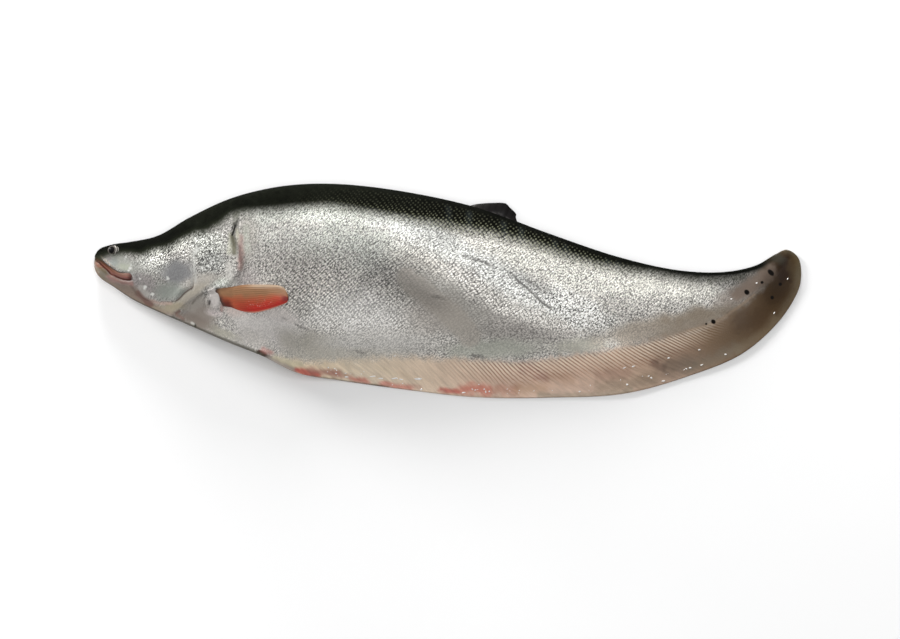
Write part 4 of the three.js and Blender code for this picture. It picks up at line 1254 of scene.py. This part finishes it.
# Beads of water and slime that catch the light along the ribbon fin
wetDrops = {
    "places": [  # x, y, length, width, lean in degrees
        (249, -85.5, 5, 1.4, 0), (275, -85, 6, 1.6, 6), (283, -87, 5, 1.8, -8), (296, -87, 7, 1.5, 10),
        (303, -88, 4, 1.6, 0), (320, -87.5, 9, 2.2, -4), (323, -98, 3, 2.0, 0), (365, -101, 5, 1.3, 12),
        (297, -64.5, 2.6, 1.6, 30), (527, -93, 3, 1.8, 20), (551, -86.5, 2.6, 1.6, 0),
        (563, -89.5, 3.6, 1.6, 16), (568, -66.7, 2.6, 1.6, 0), (524, -76.5, 3.4, 1.4, 20),
        (533, -75, 3.4, 1.4, 20), (589.5, -76.5, 2.6, 1.6, 0), (601, -73.6, 3, 1.4, 30),
        (598.5, -58.6, 2.4, 1.6, 0), (624.5, -63.2, 2.4, 1.6, 30), (629.7, -8.4, 2.2, 1.4, 0),
        (655, 7.4, 2.2, 1.4, 0), (672.7, -22.2, 2.6, 1.2, 60), (686, 11.6, 2.0, 1.2, 70),
    ],
    "extra": 46,  # smaller ones, strewn along a line on the ribbon fin
    "spread": (9, 2.4),  # how far from it they lie, along the fish and across it
    "line": [(215, -79), (255, -83), (310, -90), (370, -97), (440, -98), (520, -92), (580, -77)],
    "height": 0.55,  # of a drop for each millimetre of its width, up to the fullest width
    "fullest": 1.6,
    "rings": 5,
    "segments": 14,
    "tints": (tone(236, 232, 226), tone(255, 255, 255)),
}


def makeDrops():
    draw = np.random.default_rng(11)
    line = smoothLine(wetDrops["line"], 12)
    places = list(wetDrops["places"])
    for _ in range(wetDrops["extra"]):
        x, y = line[draw.integers(len(line))] + draw.normal(0, wetDrops["spread"])
        length = draw.uniform(0.9, 2.2)
        places.append((x, y, length, length * draw.uniform(0.4, 0.9), draw.uniform(-30, 60)))
    verts, faces = [], []
    turn = np.linspace(0, 2 * np.pi, wetDrops["segments"], endpoint=False)
    share = np.linspace(1, 0, wetDrops["rings"] + 1)[:-1]
    for x, y, length, width, lean in places:
        angle = math.radians(lean)
        wobble = 1 + 0.16 * np.sin(2 * turn + draw.uniform(0, 6))
        wobble = wobble + 0.1 * np.sin(3 * turn + draw.uniform(0, 6))
        localX = share[:, None] * np.cos(turn) * wobble * length / 2
        localY = share[:, None] * np.sin(turn) * wobble * width / 2
        tall = wetDrops["height"] * min(width, wetDrops["fullest"])
        height = tall * np.sqrt(1 - share[:, None] ** 2) + 0 * localX
        placeX = x + localX * math.cos(angle) - localY * math.sin(angle)
        placeY = y + localX * math.sin(angle) + localY * math.cos(angle)
        surfaceAt = skinHeight(placeX, placeY, 1)
        ring = np.dstack([placeX, placeY, surfaceAt - 0.12 + height]).reshape(-1, 3)
        top = [x, y, float(surfaceAt[-1].mean()) - 0.1 + tall]
        bottom = [x, y, float(surfaceAt[0].min()) - 0.4]
        start = len(verts)
        verts += [*ring.tolist(), top, bottom]
        drop = closedFaces(wetDrops["rings"], wetDrops["segments"], len(ring) + 1, len(ring))
        faces += [tuple(corner + start for corner in face) for face in drop]
    piece = makeMesh("wetDrops", inFrame(np.array(verts)), faces)
    piece.data.materials.append(dropSurface())
    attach(piece, "root")


def dropSurface():
    surface = Surface("waterBead", {"Coat Weight": 1.0, "Coat Roughness": 0.02, "IOR": 1.4})
    place = surface.node("ShaderNodeTexCoord", output=3)
    colour = surface.blend(surface.noise(place, 400.0), *wetDrops["tints"])
    surface.give({"Base Color": colour, "Roughness": 0.04 + 0.1 * surface.noise(place, 900.0)})
    return surface.material


skinPiece = makeSkin()
skinPiece.data.materials.append(skinSurface())
print("skin made:", len(skinPiece.data.vertices), "points")
eyeMaterial = eyeSurface()
for side in (1, -1):
    makeEye(side)
pectoralMaterial, dorsalMaterial = pectoralSurface(), dorsalSurface()
for side in (1, -1):
    makePectoral(side)
makeDorsal()
print("eyes and fins made")
makeDrops()
print("wet drops made")

# The table, the lights and the camera
studio = {
    "floorSize": 7.0,
    "floorSquares": 24,  # along each side
    "floorHeight": -0.0002,
    "floor": (tone(246, 246, 246), tone(252, 252, 252)),
    "world": (1.0, 1.0, 1.0),
    "worldStrength": 0.3,
    "lights": [  # name, place, what it looks at, size, power
        ("leftWindow", (-3.68, 2.57, 0.96), (0, 0, 0.02), 1.3, 268.0),
        ("rearWindow", (-0.39, 4.48, 0.96), (0, 0, 0.02), 1.7, 212.0),
        ("overheadLight", (0.1, 0.1, 3.2), (0, 0, 0), 2.4, 37.5),
        ("sparkLight", (0.35, 0.9, 2.4), (0, 0, 0), 0.25, 4.0),
    ],
    "cameraPlace": (0.00173, -0.028, 3.515),
    "lens": 141.8,
    "sensor": 36.0,
}


def makeFloor():
    count = studio["floorSquares"]
    way = np.linspace(-studio["floorSize"] / 2, studio["floorSize"] / 2, count + 1)
    x, y = np.meshgrid(way, way, indexing="ij")
    points = np.dstack([x, y, np.full_like(x, studio["floorHeight"])]).reshape(-1, 3)
    row, place = np.meshgrid(np.arange(count), np.arange(count), indexing="ij")
    first = row * (count + 1) + place
    faces = np.stack([first, first + count + 1, first + count + 2, first + 1], -1).reshape(-1, 4)
    piece = makeMesh("paleTable", points, faces.tolist())
    surface = Surface("paleTableTop", {"Roughness": 0.8, "Specular IOR Level": 0.2})
    place = surface.node("ShaderNodeTexCoord", output=3)
    surface.give({"Base Color": surface.blend(surface.noise(place, 3.0), *studio["floor"]),
                  "Normal": surface.bump(surface.noise(place, 260.0), 0.0001, 0.1)})
    piece.data.materials.append(surface.material)


def makeLights():
    scene = bpy.context.scene
    scene.world = bpy.data.worlds.new("paleRoom")
    scene.world.use_nodes = True
    background = scene.world.node_tree.nodes["Background"]
    background.inputs["Color"].default_value = (*studio["world"], 1.0)
    background.inputs["Strength"].default_value = studio["worldStrength"]
    for name, place, target, size, power in studio["lights"]:
        lamp = bpy.data.lights.new(name, "AREA")
        lamp.shape = "DISK"
        lamp.size, lamp.energy = size, power
        piece = bpy.data.objects.new(name, lamp)
        piece.location = place
        piece.rotation_euler = (Vector(target) - Vector(place)).to_track_quat("-Z", "Y").to_euler()
        piece.visible_camera = False
        scene.collection.objects.link(piece)


def makeCamera():
    scene = bpy.context.scene
    camera = bpy.data.cameras.new("overheadCamera")
    camera.lens, camera.sensor_width = studio["lens"], studio["sensor"]
    piece = bpy.data.objects.new("overheadCamera", camera)
    piece.location = studio["cameraPlace"]
    scene.collection.objects.link(piece)
    scene.camera = piece
    scene.view_settings.view_transform = "Standard"


makeFloor()
makeLights()
makeCamera()
print("table, lights and camera made")
